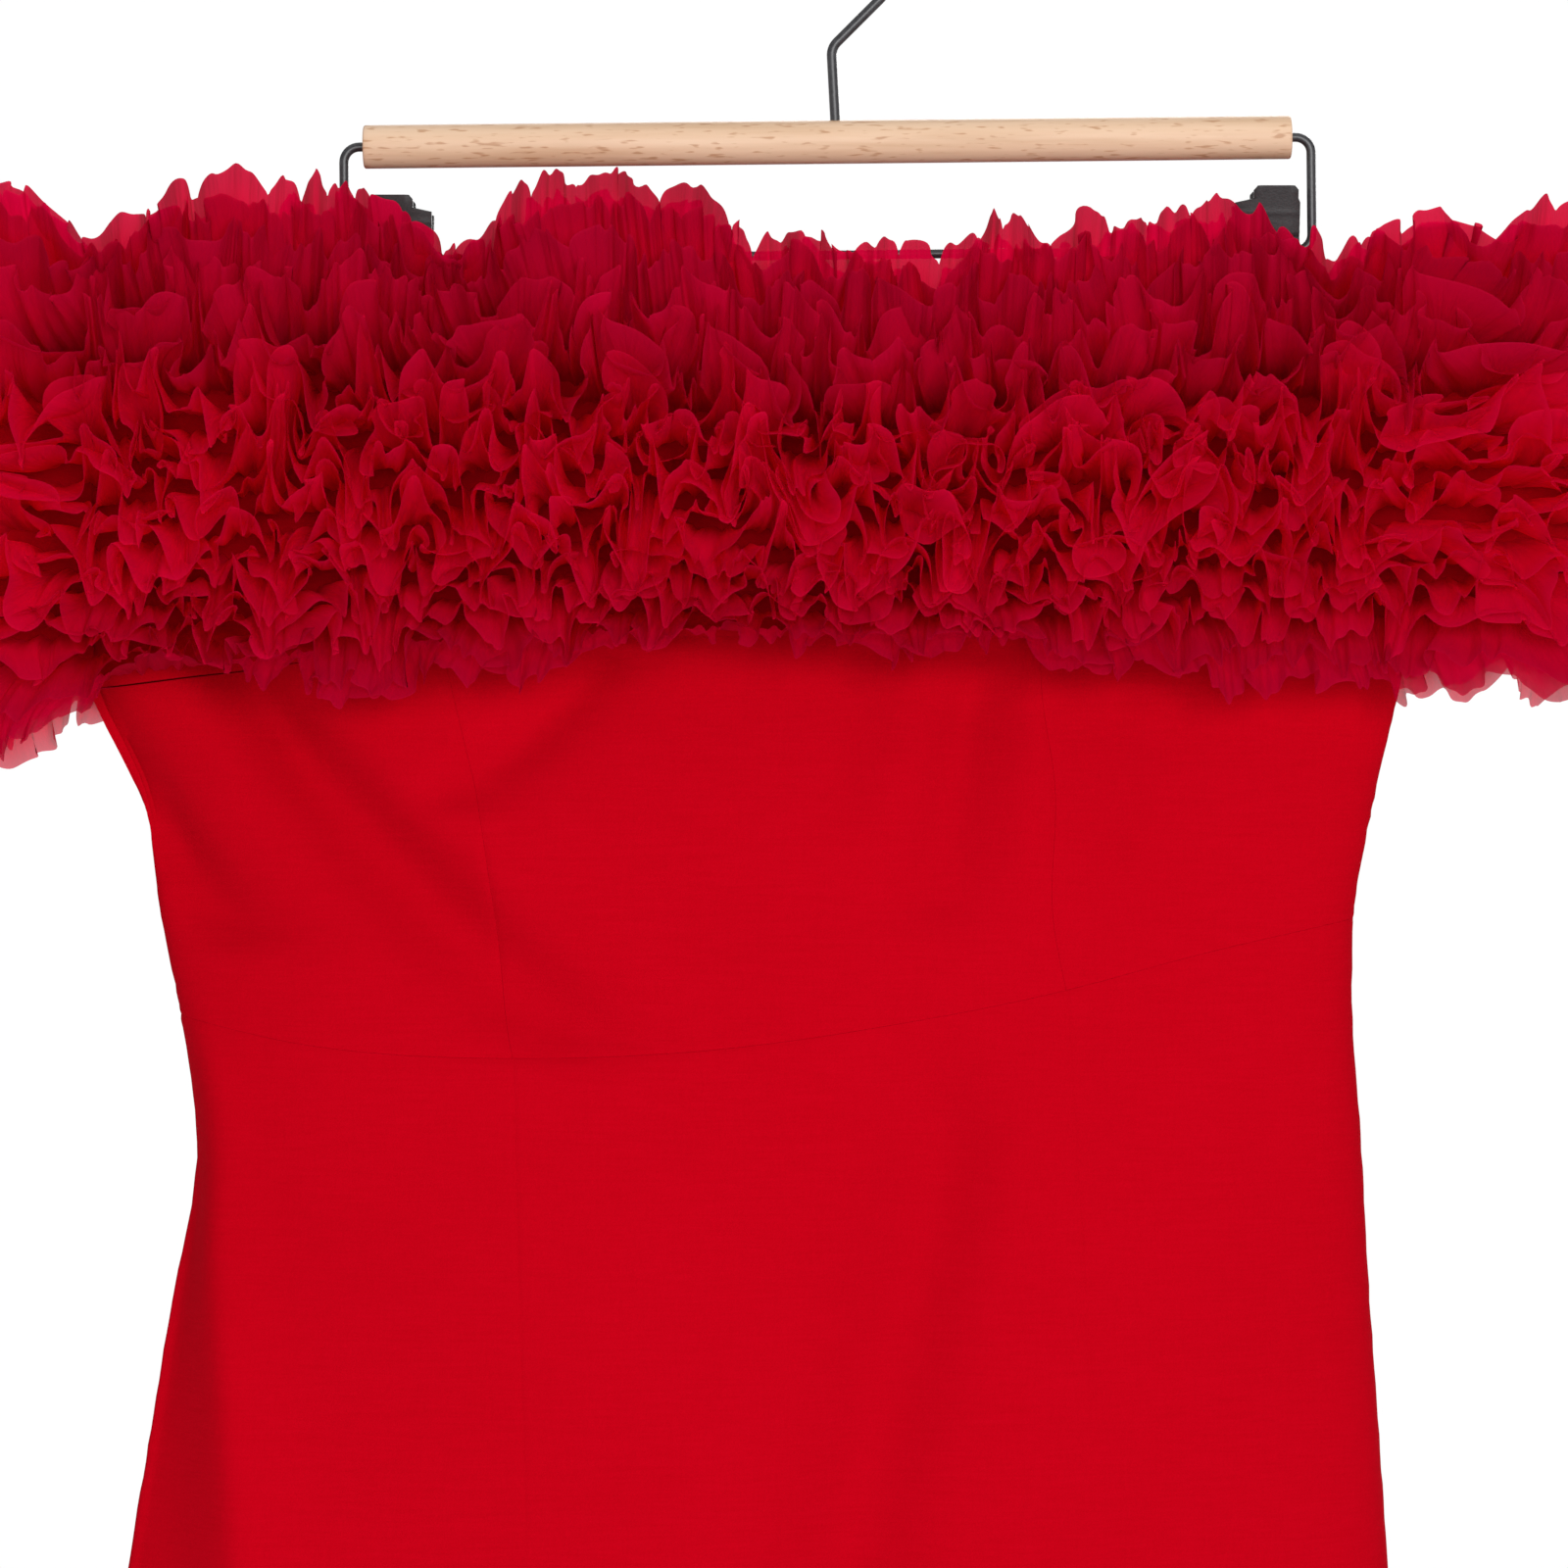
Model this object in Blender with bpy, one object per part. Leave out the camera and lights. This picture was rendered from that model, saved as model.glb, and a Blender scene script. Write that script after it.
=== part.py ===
"""Off-shoulder mini dress with a gathered ruffle band, hanging on a clip hanger.

Sizes are in metres. X is to the right, Z is up and the dress faces -Y.
The origin is the inside of the hook's top, where a rail carries the hanger.
"""

import math

import bpy
import numpy as np

# Cloth
GAP = 0.0003
CREPE_WALL = 0.0015
TULLE_WALL = 0.0013
PINCHED_DEPTH = CREPE_WALL + GAP / 2

# Hanger
BAR_CENTRE_X, BAR_CENTRE_Z = -0.0019, -0.0802
BAR_LENGTH, BAR_RADIUS, BAR_TILT = 0.300, 0.007, math.radians(0.6)
HOOK_WIRE, HOOK_BEND = 0.0016, 0.021
HOOK_KINK_X, HOOK_STEM_X = -0.0006, 0.0009
HOOK_FIRST_ANGLE, HOOK_LAST_ANGLE, HOOK_ARC_STEPS = -45, 205, 20
FRAME_WIRE, FRAME_CORNER = 0.0015, 0.005
FRAME_OUTREACH, FRAME_DROP = 0.0065, 0.0365
SOCKET_DEPTH = 0.008
CLIP_X = 0.1427
CLIP_HANDLE_WIDTH, JAW_WALL = 0.0144, 0.003
# A jaw's reach from the handle's middle, towards the dress's middle and away from it
JAW_REACH_IN, JAW_REACH_OUT = 0.0132, 0.0078
JAW_GRIP = 0.012
# Heights of a jaw from the wire, and how far its inner side stands from the middle
JAW_COLUMNS = ("height", "inner")
JAW_ROWS = (
    (-0.0215, PINCHED_DEPTH + GAP),
    (-0.0060, PINCHED_DEPTH + GAP),
    (0.0040, PINCHED_DEPTH + GAP),
    (0.0160, 0.0055),
    (0.0200, 0.0068),
)

# Outline of the bodice and skirt from the front, with half the depth at the middle,
# how square the sides are (2 is an ellipse) and how far the dress is turned, in degrees
BODY_COLUMNS = ("z", "left", "right", "depth", "power", "turn")
BODY_SECTIONS = (
    (-0.236, -0.246, 0.187, 0.025, 2.1, 0.0),
    (-0.258, -0.239, 0.183, 0.029, 2.1, 0.0),
    (-0.290, -0.224, 0.176, 0.034, 2.2, 0.5),
    (-0.330, -0.217, 0.169, 0.036, 2.2, 1.5),
    (-0.365, -0.210, 0.1685, 0.036, 2.3, 2.5),
    (-0.405, -0.205, 0.172, 0.038, 2.3, 3.5),
    (-0.459, -0.214, 0.176, 0.043, 2.4, 4.5),
    (-0.541, -0.227, 0.183, 0.048, 2.4, 6.0),
    (-0.680, -0.242, 0.196, 0.052, 2.4, 7.5),
    (-0.821, -0.254, 0.208, 0.054, 2.4, 8.5),
)
HEM_Z = -0.821
WAIST_MIDDLE_Z = -0.365

# Waist seam from the front, which the back follows
WAIST_COLUMNS = ("x", "z")
WAIST_SEAM = (
    (-0.210, -0.362),
    (-0.174, -0.370),
    (-0.102, -0.375),
    (-0.048, -0.373),
    (0.016, -0.365),
    (0.074, -0.354),
    (0.121, -0.342),
    (0.170, -0.331),
)

# Princess seams of the bodice front: where they cross the waist and the band
SEAM_COLUMNS = ("name", "waist_x", "band_x")
PRINCESS_SEAMS = (
    ("left", -0.102, -0.125),
    ("right", 0.074, 0.066),
)

# Largest folds: troughs have a depth above zero and ridges below
FOLD_COLUMNS = ("face", "top_x", "top_z", "middle_x", "middle_z", "foot_x", "foot_z",
                "depth", "top_width", "foot_width")
FOLDS = (
    ("front", -0.194, -0.248, -0.158, -0.296, -0.087, -0.369, 0.0070, 0.012, 0.030),
    ("front", -0.243, -0.250, -0.216, -0.295, -0.190, -0.335, 0.0060, 0.010, 0.018),
    ("front", -0.070, -0.250, -0.092, -0.270, -0.117, -0.294, 0.0030, 0.010, 0.014),
    ("front", 0.048, -0.248, 0.043, -0.275, 0.033, -0.329, 0.0035, 0.012, 0.016),
    ("front", 0.035, -0.400, 0.010, -0.525, -0.028, -0.821, 0.0080, 0.022, 0.050),
    ("front", -0.204, -0.400, -0.186, -0.535, -0.165, -0.821, -0.0060, 0.014, 0.026),
    ("front", 0.120, -0.560, 0.122, -0.680, 0.130, -0.821, 0.0050, 0.025, 0.040),
    ("back", 0.120, -0.250, 0.100, -0.300, 0.060, -0.360, 0.0060, 0.014, 0.026),
    ("back", -0.150, -0.250, -0.130, -0.290, -0.115, -0.330, 0.0040, 0.012, 0.018),
    ("back", -0.100, -0.410, -0.105, -0.560, -0.120, -0.821, 0.0080, 0.024, 0.048),
    ("back", 0.075, -0.430, 0.090, -0.600, 0.105, -0.821, 0.0070, 0.024, 0.045),
)
FOLD_FADE = 0.12

# Band round the shoulders: its upper and lower edge from the front
RING_COLUMNS = ("x", "top", "bottom")
RING_EDGES = (
    (-0.323, -0.131, -0.263),
    (-0.240, -0.126, -0.257),
    (-0.143, -0.127, -0.246),
    (-0.050, -0.138, -0.241),
    (0.020, -0.147, -0.241),
    (0.080, -0.140, -0.242),
    (0.143, -0.131, -0.243),
    (0.184, -0.130, -0.243),
    (0.292, -0.134, -0.238),
)
UNDERARM_LEFT_X, UNDERARM_RIGHT_X = -0.239, 0.1845
SLEEVE_LEFT_REACH, SLEEVE_RIGHT_REACH = 0.084, 0.107
BAND_TOP_DEPTH = 0.015
SLEEVE_TOP_BULGE, SLEEVE_CUFF_BULGE = 0.005, 0.018
PINCH_FLAT, PINCH_REACH = 0.020, 0.065

# Ruffle rows, from the neck down: place on the band (0 is its lower edge), then for the
# inner and outer part of the strip its length and its lean above level, in degrees.
# The two rows in the middle stand straight out, with no inner part.
RUFFLE_COLUMNS = ("row", "place", "inner", "inner_lean", "outer", "outer_lean", "wave")
RUFFLE_ROWS = (
    (1, 0.850, 0.022, 8, 0.036, 76, 0.0096),
    (2, 0.620, 0.0, 0, 0.044, 26, 0.0102),
    (3, 0.390, 0.0, 0, 0.042, -12, 0.0102),
    (4, 0.160, 0.018, -16, 0.024, -58, 0.0090),
)
INNER_WAVE_SHARE = 0.45
WAVE_POINTS = 4
WAVE_START = math.radians(45)
UNEVEN_WAVES, UNEVEN_REACH = 0.22, 0.10
# A ruffle's end is taken as no steeper than this share of level cloth
STEEPEST_EDGE = 0.4

# Pieces of the band in order round the ring from the centre back, with their waves
BAND_PIECES = (
    ("back_left", 8),
    ("sleeve_left", 8),
    ("front", 17),
    ("sleeve_right", 9),
    ("back_right", 8),
)
BAND_COLUMNS_PER_WAVE = 2

# Zip in the centre back
ZIP_WIDTH = 0.002
ZIP_RECESS = 0.0002
ZIP_TOP_PLACE = 0.85
ZIP_SKIRT_ROWS = 4
SLIDER_COLUMNS = ("drop", "half_width", "thickness")
SLIDER_ROWS = (
    (0.0008, 0.0020, 0.0020),
    (0.0025, 0.0028, 0.0028),
    (0.0062, 0.0026, 0.0028),
    (0.0074, 0.0013, 0.0010),
    (0.0090, 0.0013, 0.0010),
    (0.0120, 0.0026, 0.0010),
    (0.0144, 0.0030, 0.0010),
    (0.0158, 0.0018, 0.0010),
)

# Grid counts
BODICE_ROWS, SKIRT_ROWS = 6, 10
CENTRE_COLUMNS, SIDE_COLUMNS, BACK_COLUMNS = 12, 8, 12
SKIRT_FRONT_COLUMNS, SKIRT_BACK_COLUMNS = 26, 14
BAR_SIDES = 24

LEFT_SIDE, RIGHT_SIDE, BACK = 0.0, math.pi, 1.5 * math.pi
SMALL_STEP = 0.001

CREPE_RED = (0.572, 0.0006, 0.0090)
TULLE_RED = (0.300, 0.0006, 0.0080)
BEECH = (0.770, 0.560, 0.400)
BLACK_WIRE = (0.020, 0.020, 0.022)
BLACK_CLIP = (0.012, 0.012, 0.013)


def read_column(table, columns, name):
    """One column of a table, as numbers."""
    place = columns.index(name)
    return np.array([row[place] for row in table], dtype=float)


def curve_through(knots, values):
    """Smooth curve through a few points, level past its ends."""
    order = np.argsort(knots)
    knots, values = knots[order], values[order]
    slopes = np.gradient(values, knots)

    def read(where):
        where = np.clip(where, knots[0], knots[-1])
        span = np.clip(np.searchsorted(knots, where) - 1, 0, len(knots) - 2)
        width = knots[span + 1] - knots[span]
        part = (where - knots[span]) / width
        ends = values[span] * (1 + 2 * part) * (1 - part) ** 2
        ends = ends + values[span + 1] * part ** 2 * (3 - 2 * part)
        bend = slopes[span] * part * (1 - part) ** 2 - slopes[span + 1] * part ** 2 * (1 - part)
        return ends + width * bend

    return read


def table_curves(table, columns):
    """A smooth curve for each column, read by the first column."""
    first = read_column(table, columns, columns[0])
    return {name: curve_through(first, read_column(table, columns, name)) for name in columns[1:]}


def ease(value):
    """Smooth step from 0 to 1."""
    value = np.clip(value, 0.0, 1.0)
    return value * value * (3 - 2 * value)


def blend(start, end, part):
    return start + (end - start) * part


BODY = table_curves(BODY_SECTIONS, BODY_COLUMNS)
WAIST = table_curves(WAIST_SEAM, WAIST_COLUMNS)
RING = table_curves(RING_EDGES, RING_COLUMNS)


def fold_depth(x, z, face):
    """How far the folds press the cloth in at a place on the front or back."""
    total = np.zeros(np.broadcast(x, z).shape)
    for row in FOLDS:
        fold = dict(zip(FOLD_COLUMNS, row))
        if fold["face"] != face:
            continue
        heights = (fold["top_z"], fold["middle_z"], fold["foot_z"])
        places = (fold["top_x"], fold["middle_x"], fold["foot_x"])
        bend = np.polyfit(heights, places, 2)
        along = (fold["top_z"] - z) / (fold["top_z"] - fold["foot_z"])
        level = np.clip(z, fold["foot_z"], fold["top_z"])
        slope = np.polyval(np.polyder(bend), level)
        off = (x - np.polyval(bend, level)) / np.sqrt(1 + slope ** 2)
        width = blend(fold["top_width"], fold["foot_width"], np.clip(along, 0, 1))
        fade = ease((along + FOLD_FADE) / FOLD_FADE) * ease((1 + FOLD_FADE - along) / FOLD_FADE)
        total = total + fold["depth"] * np.exp(-(off / width) ** 2) * fade
    return total


def rounded(value, power):
    """A sine or cosine with the corners of a section pushed out."""
    return np.sign(value) * np.abs(value) ** (2 / power)


def body_point(angle, z):
    """Outside of the dress at an angle round it, from the left side by the front."""
    left, right = BODY["left"](z), BODY["right"](z)
    power, turn = BODY["power"](z), np.radians(BODY["turn"](z))
    x = -(right - left) / 2 * rounded(np.cos(angle), power)
    y = -BODY["depth"](z) * rounded(np.sin(angle), power)
    middle = (left + right) / 2
    turned_x = middle + x * np.cos(turn) - y * np.sin(turn)
    turned_y = x * np.sin(turn) + y * np.cos(turn)
    facing = np.sin(angle)
    pressed = np.where(facing > 0, fold_depth(turned_x, z, "front"),
                       -fold_depth(turned_x, z, "back"))
    turned_y = turned_y + pressed * np.minimum(1.0, 3 * np.abs(facing))
    return np.stack(np.broadcast_arrays(turned_x, turned_y, z), axis=-1)


def body_angle(x, z):
    """Angle at which the front of the dress crosses a place from left to right."""
    angles = np.linspace(LEFT_SIDE, RIGHT_SIDE, 721)
    return float(np.interp(x, body_point(angles, z)[:, 0], angles))


def waist_height(angle):
    return WAIST["z"](body_point(angle, WAIST_MIDDLE_Z)[..., 0])


def band_seam_height(angle):
    level = float(RING["bottom"](0.0))
    return RING["bottom"](body_point(angle, level)[..., 0])


def centre_back_x():
    """Where the centre back meets the band, which its zip then follows straight up."""
    return float(body_point(np.array(BACK), band_seam_height(np.array(BACK)))[0])


def level_normal(along):
    """Outward direction in a level section, from the direction round the dress."""
    across = np.stack([along[..., 1], -along[..., 0], np.zeros_like(along[..., 0])], axis=-1)
    return across / np.linalg.norm(across, axis=-1, keepdims=True)


def body_normal(angle, z):
    return level_normal(body_point(angle + SMALL_STEP, z) - body_point(angle - SMALL_STEP, z))


def pull_in(grid, left, right, lower, upper):
    """Draw the edges of a grid in, along its own lines, to part it from its neighbours."""
    for edge, inner, distance in (
        (grid[:, 0], grid[:, 1], left),
        (grid[:, -1], grid[:, -2], right),
        (grid[0], grid[1], lower),
        (grid[-1], grid[-2], upper),
    ):
        step = inner - edge
        length = np.linalg.norm(step, axis=-1, keepdims=True)
        edge += step / length * np.reshape(distance, (-1, 1))
    return grid


def finish(name, colour, roughness, metallic=0.0):
    """One material with the part's colour."""
    material = bpy.data.materials.new(name)
    material.use_nodes = True
    shader = material.node_tree.nodes["Principled BSDF"]
    shader.inputs["Base Color"].default_value = (*colour, 1.0)
    shader.inputs["Roughness"].default_value = roughness
    shader.inputs["Metallic"].default_value = metallic
    return material


def add_object(name, data, colour, roughness, metallic=0.0):
    data.materials.append(finish(name + "_finish", colour, roughness, metallic))
    piece = bpy.data.objects.new(name, data)
    bpy.context.scene.collection.objects.link(piece)
    return piece


def add_wall(name, outer, inner, colour, roughness, cells=None):
    """Close two facing grids of points into one solid wall.

    Rows go up and columns go to the right as seen from outside. Cells left out of the
    mask leave the wall open there.
    """
    rows, columns = outer.shape[0] - 1, outer.shape[1] - 1
    if cells is None:
        cells = np.ones((rows, columns), dtype=bool)
    count = outer.shape[0] * outer.shape[1]

    def corner(row, column, layer):
        return layer * count + row * (columns + 1) + column

    def is_cell(row, column):
        return 0 <= row < rows and 0 <= column < columns and cells[row, column]

    faces = []
    for row in range(rows):
        for column in range(columns):
            if not cells[row, column]:
                continue
            ring = ((row, column), (row, column + 1), (row + 1, column + 1), (row + 1, column))
            # Both sides are split along the same diagonal, so that the wall keeps its thickness
            rising = np.linalg.norm(outer[ring[0]] - outer[ring[2]])
            falling = np.linalg.norm(outer[ring[1]] - outer[ring[3]])
            cut = ring if rising <= falling else ring[1:] + ring[:1]
            for half in ((cut[0], cut[1], cut[2]), (cut[0], cut[2], cut[3])):
                faces.append([corner(r, c, 0) for r, c in half])
                faces.append([corner(r, c, 1) for r, c in reversed(half)])
            beside = ((row - 1, column), (row, column + 1), (row + 1, column), (row, column - 1))
            for side, neighbour in enumerate(beside):
                if not is_cell(*neighbour):
                    first, second = ring[side], ring[(side + 1) % 4]
                    faces.append([corner(*second, 0), corner(*first, 0),
                                  corner(*first, 1), corner(*second, 1)])
    points = np.concatenate([outer.reshape(-1, 3), inner.reshape(-1, 3)])
    used = sorted({index for face in faces for index in face})
    place = {index: number for number, index in enumerate(used)}
    mesh = bpy.data.meshes.new(name)
    mesh.from_pydata([tuple(points[index]) for index in used], [],
                     [[place[index] for index in face] for face in faces])
    mesh.shade_smooth()
    mesh.set_sharp_from_angle(angle=math.radians(40))
    return add_object(name, mesh, colour, roughness)


# Bodice and skirt

def edge_room(rows, zip_rows):
    """How far a panel's edge stands off its seam at each row, with a zip in the top rows."""
    room = np.full(rows + 1, GAP / 2)
    if zip_rows:
        room[rows - zip_rows:] = ZIP_WIDTH / 2 + GAP
    return room


def add_panel(name, left_angles, right_angles, lower, upper, columns, rows, zip_side, zip_rows):
    """A panel of the tube between two seams, given by their angle at each row."""
    across = np.linspace(0, 1, columns + 1)[None, :]
    up = np.linspace(0, 1, rows + 1)[:, None]
    angle = blend(left_angles[:, None], right_angles[:, None], across)
    z = blend(lower(angle), upper(angle), up)
    outer = body_point(angle, z)
    outward = body_normal(angle, z)
    pull_in(outer,
            edge_room(rows, zip_rows if zip_side == "left" else 0),
            edge_room(rows, zip_rows if zip_side == "right" else 0),
            GAP / 2, GAP / 2)
    add_wall(name, outer, outer - CREPE_WALL * outward, CREPE_RED, 0.75)


def add_bodice():
    """Five panels between the waist and the band."""
    rows = np.linspace(0, 1, BODICE_ROWS + 1)
    seams = {}
    for row in PRINCESS_SEAMS:
        seam = dict(zip(SEAM_COLUMNS, row))
        at_waist = body_angle(seam["waist_x"], float(WAIST["z"](seam["waist_x"])))
        at_band = body_angle(seam["band_x"], float(RING["bottom"](seam["band_x"])))
        seams[seam["name"]] = blend(at_waist, at_band, rows)
    even = np.ones(BODICE_ROWS + 1)
    panels = (
        ("bodice_front_side_left", LEFT_SIDE * even, seams["left"], SIDE_COLUMNS, None),
        ("bodice_front_centre", seams["left"], seams["right"], CENTRE_COLUMNS, None),
        ("bodice_front_side_right", seams["right"], RIGHT_SIDE * even, SIDE_COLUMNS, None),
        ("bodice_back_right", RIGHT_SIDE * even, BACK * even, BACK_COLUMNS, "right"),
        ("bodice_back_left", BACK * even, 2 * math.pi * even, BACK_COLUMNS, "left"),
    )
    for name, left, right, columns, zip_side in panels:
        add_panel(name, left, right, waist_height, band_seam_height,
                  columns, BODICE_ROWS, zip_side, BODICE_ROWS)


def hem_height(angle):
    return np.full(np.shape(angle), HEM_Z)


def add_skirt():
    """One front panel and two back panels, from the waist to the hem."""
    even = np.ones(SKIRT_ROWS + 1)
    panels = (
        ("skirt_front", LEFT_SIDE, RIGHT_SIDE, SKIRT_FRONT_COLUMNS, None),
        ("skirt_back_right", RIGHT_SIDE, BACK, SKIRT_BACK_COLUMNS, "right"),
        ("skirt_back_left", BACK, 2 * math.pi, SKIRT_BACK_COLUMNS, "left"),
    )
    for name, left, right, columns, zip_side in panels:
        add_panel(name, left * even, right * even, hem_height, waist_height,
                  columns, SKIRT_ROWS, zip_side, ZIP_SKIRT_ROWS)


# Band and ruffles

def body_half_depth(x, z):
    """Depth of the plain body section at a place across the front."""
    left, right = BODY["left"](z), BODY["right"](z)
    across = np.clip(np.abs(2 * x - left - right) / (right - left), 0, 1)
    power = BODY["power"](z)
    return BODY["depth"](z) * (1 - across ** power) ** (1 / power)


def band_half_depth(x, up):
    """Half the depth of the band: pinched at its top by the clips, open below."""
    bottom = np.hypot(body_half_depth(x, RING["bottom"](x)), PINCHED_DEPTH)
    free = blend(bottom, BAND_TOP_DEPTH, ease(up))
    beside_clip = np.minimum(np.abs(x - CLIP_X), np.abs(x + CLIP_X))
    pinch = 1 - ease((beside_clip - PINCH_FLAT) / (PINCH_REACH - PINCH_FLAT))
    pinch = pinch * ease(up / (1 - JAW_GRIP / (RING["top"](x) - RING["bottom"](x))))
    return blend(free, PINCHED_DEPTH, pinch)


def band_point(x, up, face):
    """Outside of the band on the front (-1) or back (1)."""
    z = blend(RING["bottom"](x), RING["top"](x), up)
    name = "front" if face < 0 else "back"
    pressed = fold_depth(x, z, name) * (1 - ease(2 * up))
    depth = np.maximum(band_half_depth(x, up) - pressed, PINCHED_DEPTH)
    return np.stack(np.broadcast_arrays(x, face * depth, z), axis=-1)


def sleeve_point(turn, up, seam_x, reach):
    """Outside of a sleeve, turning from the back seam (0) to the front seam (pi)."""
    x = seam_x + reach * np.sin(turn)
    depth = band_half_depth(np.full_like(up, seam_x), up)
    bulge = blend(SLEEVE_CUFF_BULGE, SLEEVE_TOP_BULGE, ease(up))
    y = depth * np.cos(turn) + bulge * np.sin(2 * turn)
    z = blend(RING["bottom"](x), RING["top"](x), up)
    return np.stack(np.broadcast_arrays(x, y, z), axis=-1)


def band_surface(name):
    """A band piece as a function of the way round it (0 to 1) and up it (0 to 1)."""
    middle = centre_back_x()
    if name == "front":
        return lambda way, up: band_point(blend(UNDERARM_LEFT_X, UNDERARM_RIGHT_X, way), up, -1)
    if name == "back_left":
        return lambda way, up: band_point(blend(middle, UNDERARM_LEFT_X, way), up, 1)
    if name == "back_right":
        return lambda way, up: band_point(blend(UNDERARM_RIGHT_X, middle, way), up, 1)
    if name == "sleeve_left":
        return lambda way, up: sleeve_point(math.pi * way, up, UNDERARM_LEFT_X,
                                            -SLEEVE_LEFT_REACH)
    return lambda way, up: sleeve_point(math.pi * (1 - way), up, UNDERARM_RIGHT_X,
                                        SLEEVE_RIGHT_REACH)


def ruffle_heading(name, way):
    """Level direction in which a ruffle stands off the band."""
    turn = {"back_left": 0 * way, "sleeve_left": math.pi * way, "front": math.pi + 0 * way,
            "sleeve_right": math.pi * (1 + way), "back_right": 0 * way}[name]
    return np.stack([-np.sin(turn), np.cos(turn), 0 * turn], axis=-1)


def band_levels():
    """Heights of the band's rows: its edges and the line of each ruffle."""
    places = read_column(RUFFLE_ROWS, RUFFLE_COLUMNS, "place")
    return np.sort(np.concatenate([[0.0, 1.0], places]))


def add_band_piece(name, waves):
    """One wall of the band. Returns the outer grid that its ruffles are sewn on."""
    surface = band_surface(name)
    way = np.linspace(0, 1, waves * BAND_COLUMNS_PER_WAVE + 1)[None, :]
    up = band_levels()[:, None]
    way, up = np.broadcast_arrays(way, up)
    outer = surface(way, up)
    outward = level_normal(surface(way + SMALL_STEP, up) - surface(way - SMALL_STEP, up))
    for seam in (0, -1):
        outward[:, seam] = ruffle_heading(name, way[:, seam])
    zip_edge = ZIP_WIDTH / 2 + GAP
    pull_in(outer,
            zip_edge if name == "back_left" else GAP / 2,
            zip_edge if name == "back_right" else GAP / 2,
            GAP / 2, 0.0)
    node = "band_" + name if "sleeve" not in name else name
    add_wall(node, outer, outer - CREPE_WALL * outward, CREPE_RED, 0.75)
    return outer


def along_row(points, way):
    """Places along a row of points, on the straight stretches between them."""
    ends = np.linspace(0, 1, len(points))
    return np.stack([np.interp(way, ends, points[:, axis]) for axis in range(3)], axis=-1)


def seam_room(lines):
    """How far each line draws back along itself to stand half the gap off its end seams."""
    room = []
    for end, beside in ((0, 1), (-1, -2)):
        step = lines[:, beside] - lines[:, end]
        length = np.linalg.norm(step, axis=-1)
        level = np.abs(step @ step[0]) / length[0] / length
        room.append(GAP / 2 / np.maximum(level, STEEPEST_EDGE))
    return room


def wall_sides(lines, root_side):
    """Way from the middle of a waving wall to its side at each point, mitred at the bends."""
    sides = np.empty_like(lines)
    sides[0] = root_side
    for level in range(1, len(lines)):
        depth = lines[min(level + 1, len(lines) - 1)] - lines[level - 1]
        steps = np.diff(lines[level], axis=0)
        before = np.cross(np.concatenate([steps[:1], steps]), depth)
        after = np.cross(np.concatenate([steps, steps[-1:]]), depth)
        before /= np.linalg.norm(before, axis=-1, keepdims=True)
        after /= np.linalg.norm(after, axis=-1, keepdims=True)
        sides[level] = (before + after) / (1 + np.sum(before * after, axis=-1, keepdims=True))
        for end, beside in ((0, 1), (-1, -2)):
            along = lines[0, beside] - lines[0, end]
            in_seam = before[end] - along * (before[end] @ along) / (along @ along)
            sides[level, end] = in_seam / max(in_seam @ in_seam, STEEPEST_EDGE ** 2)
    return sides


def add_ruffle(name, waves, first_wave, seam_row, rise, row):
    """One gathered strip, sewn along a row of the band and waving at its free edge.

    The rise is the band's own way up at each point of the row.
    """
    ruffle = dict(zip(RUFFLE_COLUMNS, row))
    way = np.linspace(0, 1, waves * WAVE_POINTS + 1)
    heading = ruffle_heading(name, way)
    upward = np.array([0.0, 0.0, 1.0])
    wave = first_wave + way * waves
    uneven = np.sin(1.9 * wave + ruffle["row"]) * np.sin(0.73 * wave + 2 * ruffle["row"])
    swing = ruffle["wave"] * (1 + UNEVEN_WAVES * uneven) * np.sin(2 * math.pi * wave + WAVE_START)
    reach = 1 + UNEVEN_REACH * np.sin(0.9 * wave + 1.7 * ruffle["row"])

    parts = [part for part in ("inner", "outer") if ruffle[part]]
    shares = {1: [1.0], 2: [INNER_WAVE_SHARE, 1 - INNER_WAVE_SHARE]}[len(parts)]
    levels = [along_row(seam_row, way) + GAP * heading]
    for part, share in zip(parts, shares):
        lean = math.radians(ruffle[part + "_lean"])
        direction = math.cos(lean) * heading + math.sin(lean) * upward
        across = math.cos(lean) * upward - math.sin(lean) * heading
        straight = levels[-1] + direction * (ruffle[part] * reach)[:, None]
        levels.append(straight + across * (swing * share)[:, None])
    lines = np.stack(levels)
    pull_in(lines, *seam_room(lines), 0.0, 0.0)
    down = -along_row(rise, way)
    half = TULLE_WALL / 2 * wall_sides(lines, down / np.linalg.norm(down, axis=-1, keepdims=True))
    add_wall(f"ruffle_{name}_{ruffle['row']}", lines + half, lines - half, TULLE_RED, 0.85)


def add_band():
    """The ring round the shoulders with its rows of ruffles."""
    levels = list(band_levels())
    first_wave = 0
    for name, waves in BAND_PIECES:
        outer = add_band_piece(name, waves)
        for row in RUFFLE_ROWS:
            level = levels.index(row[RUFFLE_COLUMNS.index("place")])
            rise = outer[level + 1] - outer[level - 1]
            add_ruffle(name, waves, first_wave, outer[level], rise, row)
        first_wave += waves


# Zip

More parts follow.
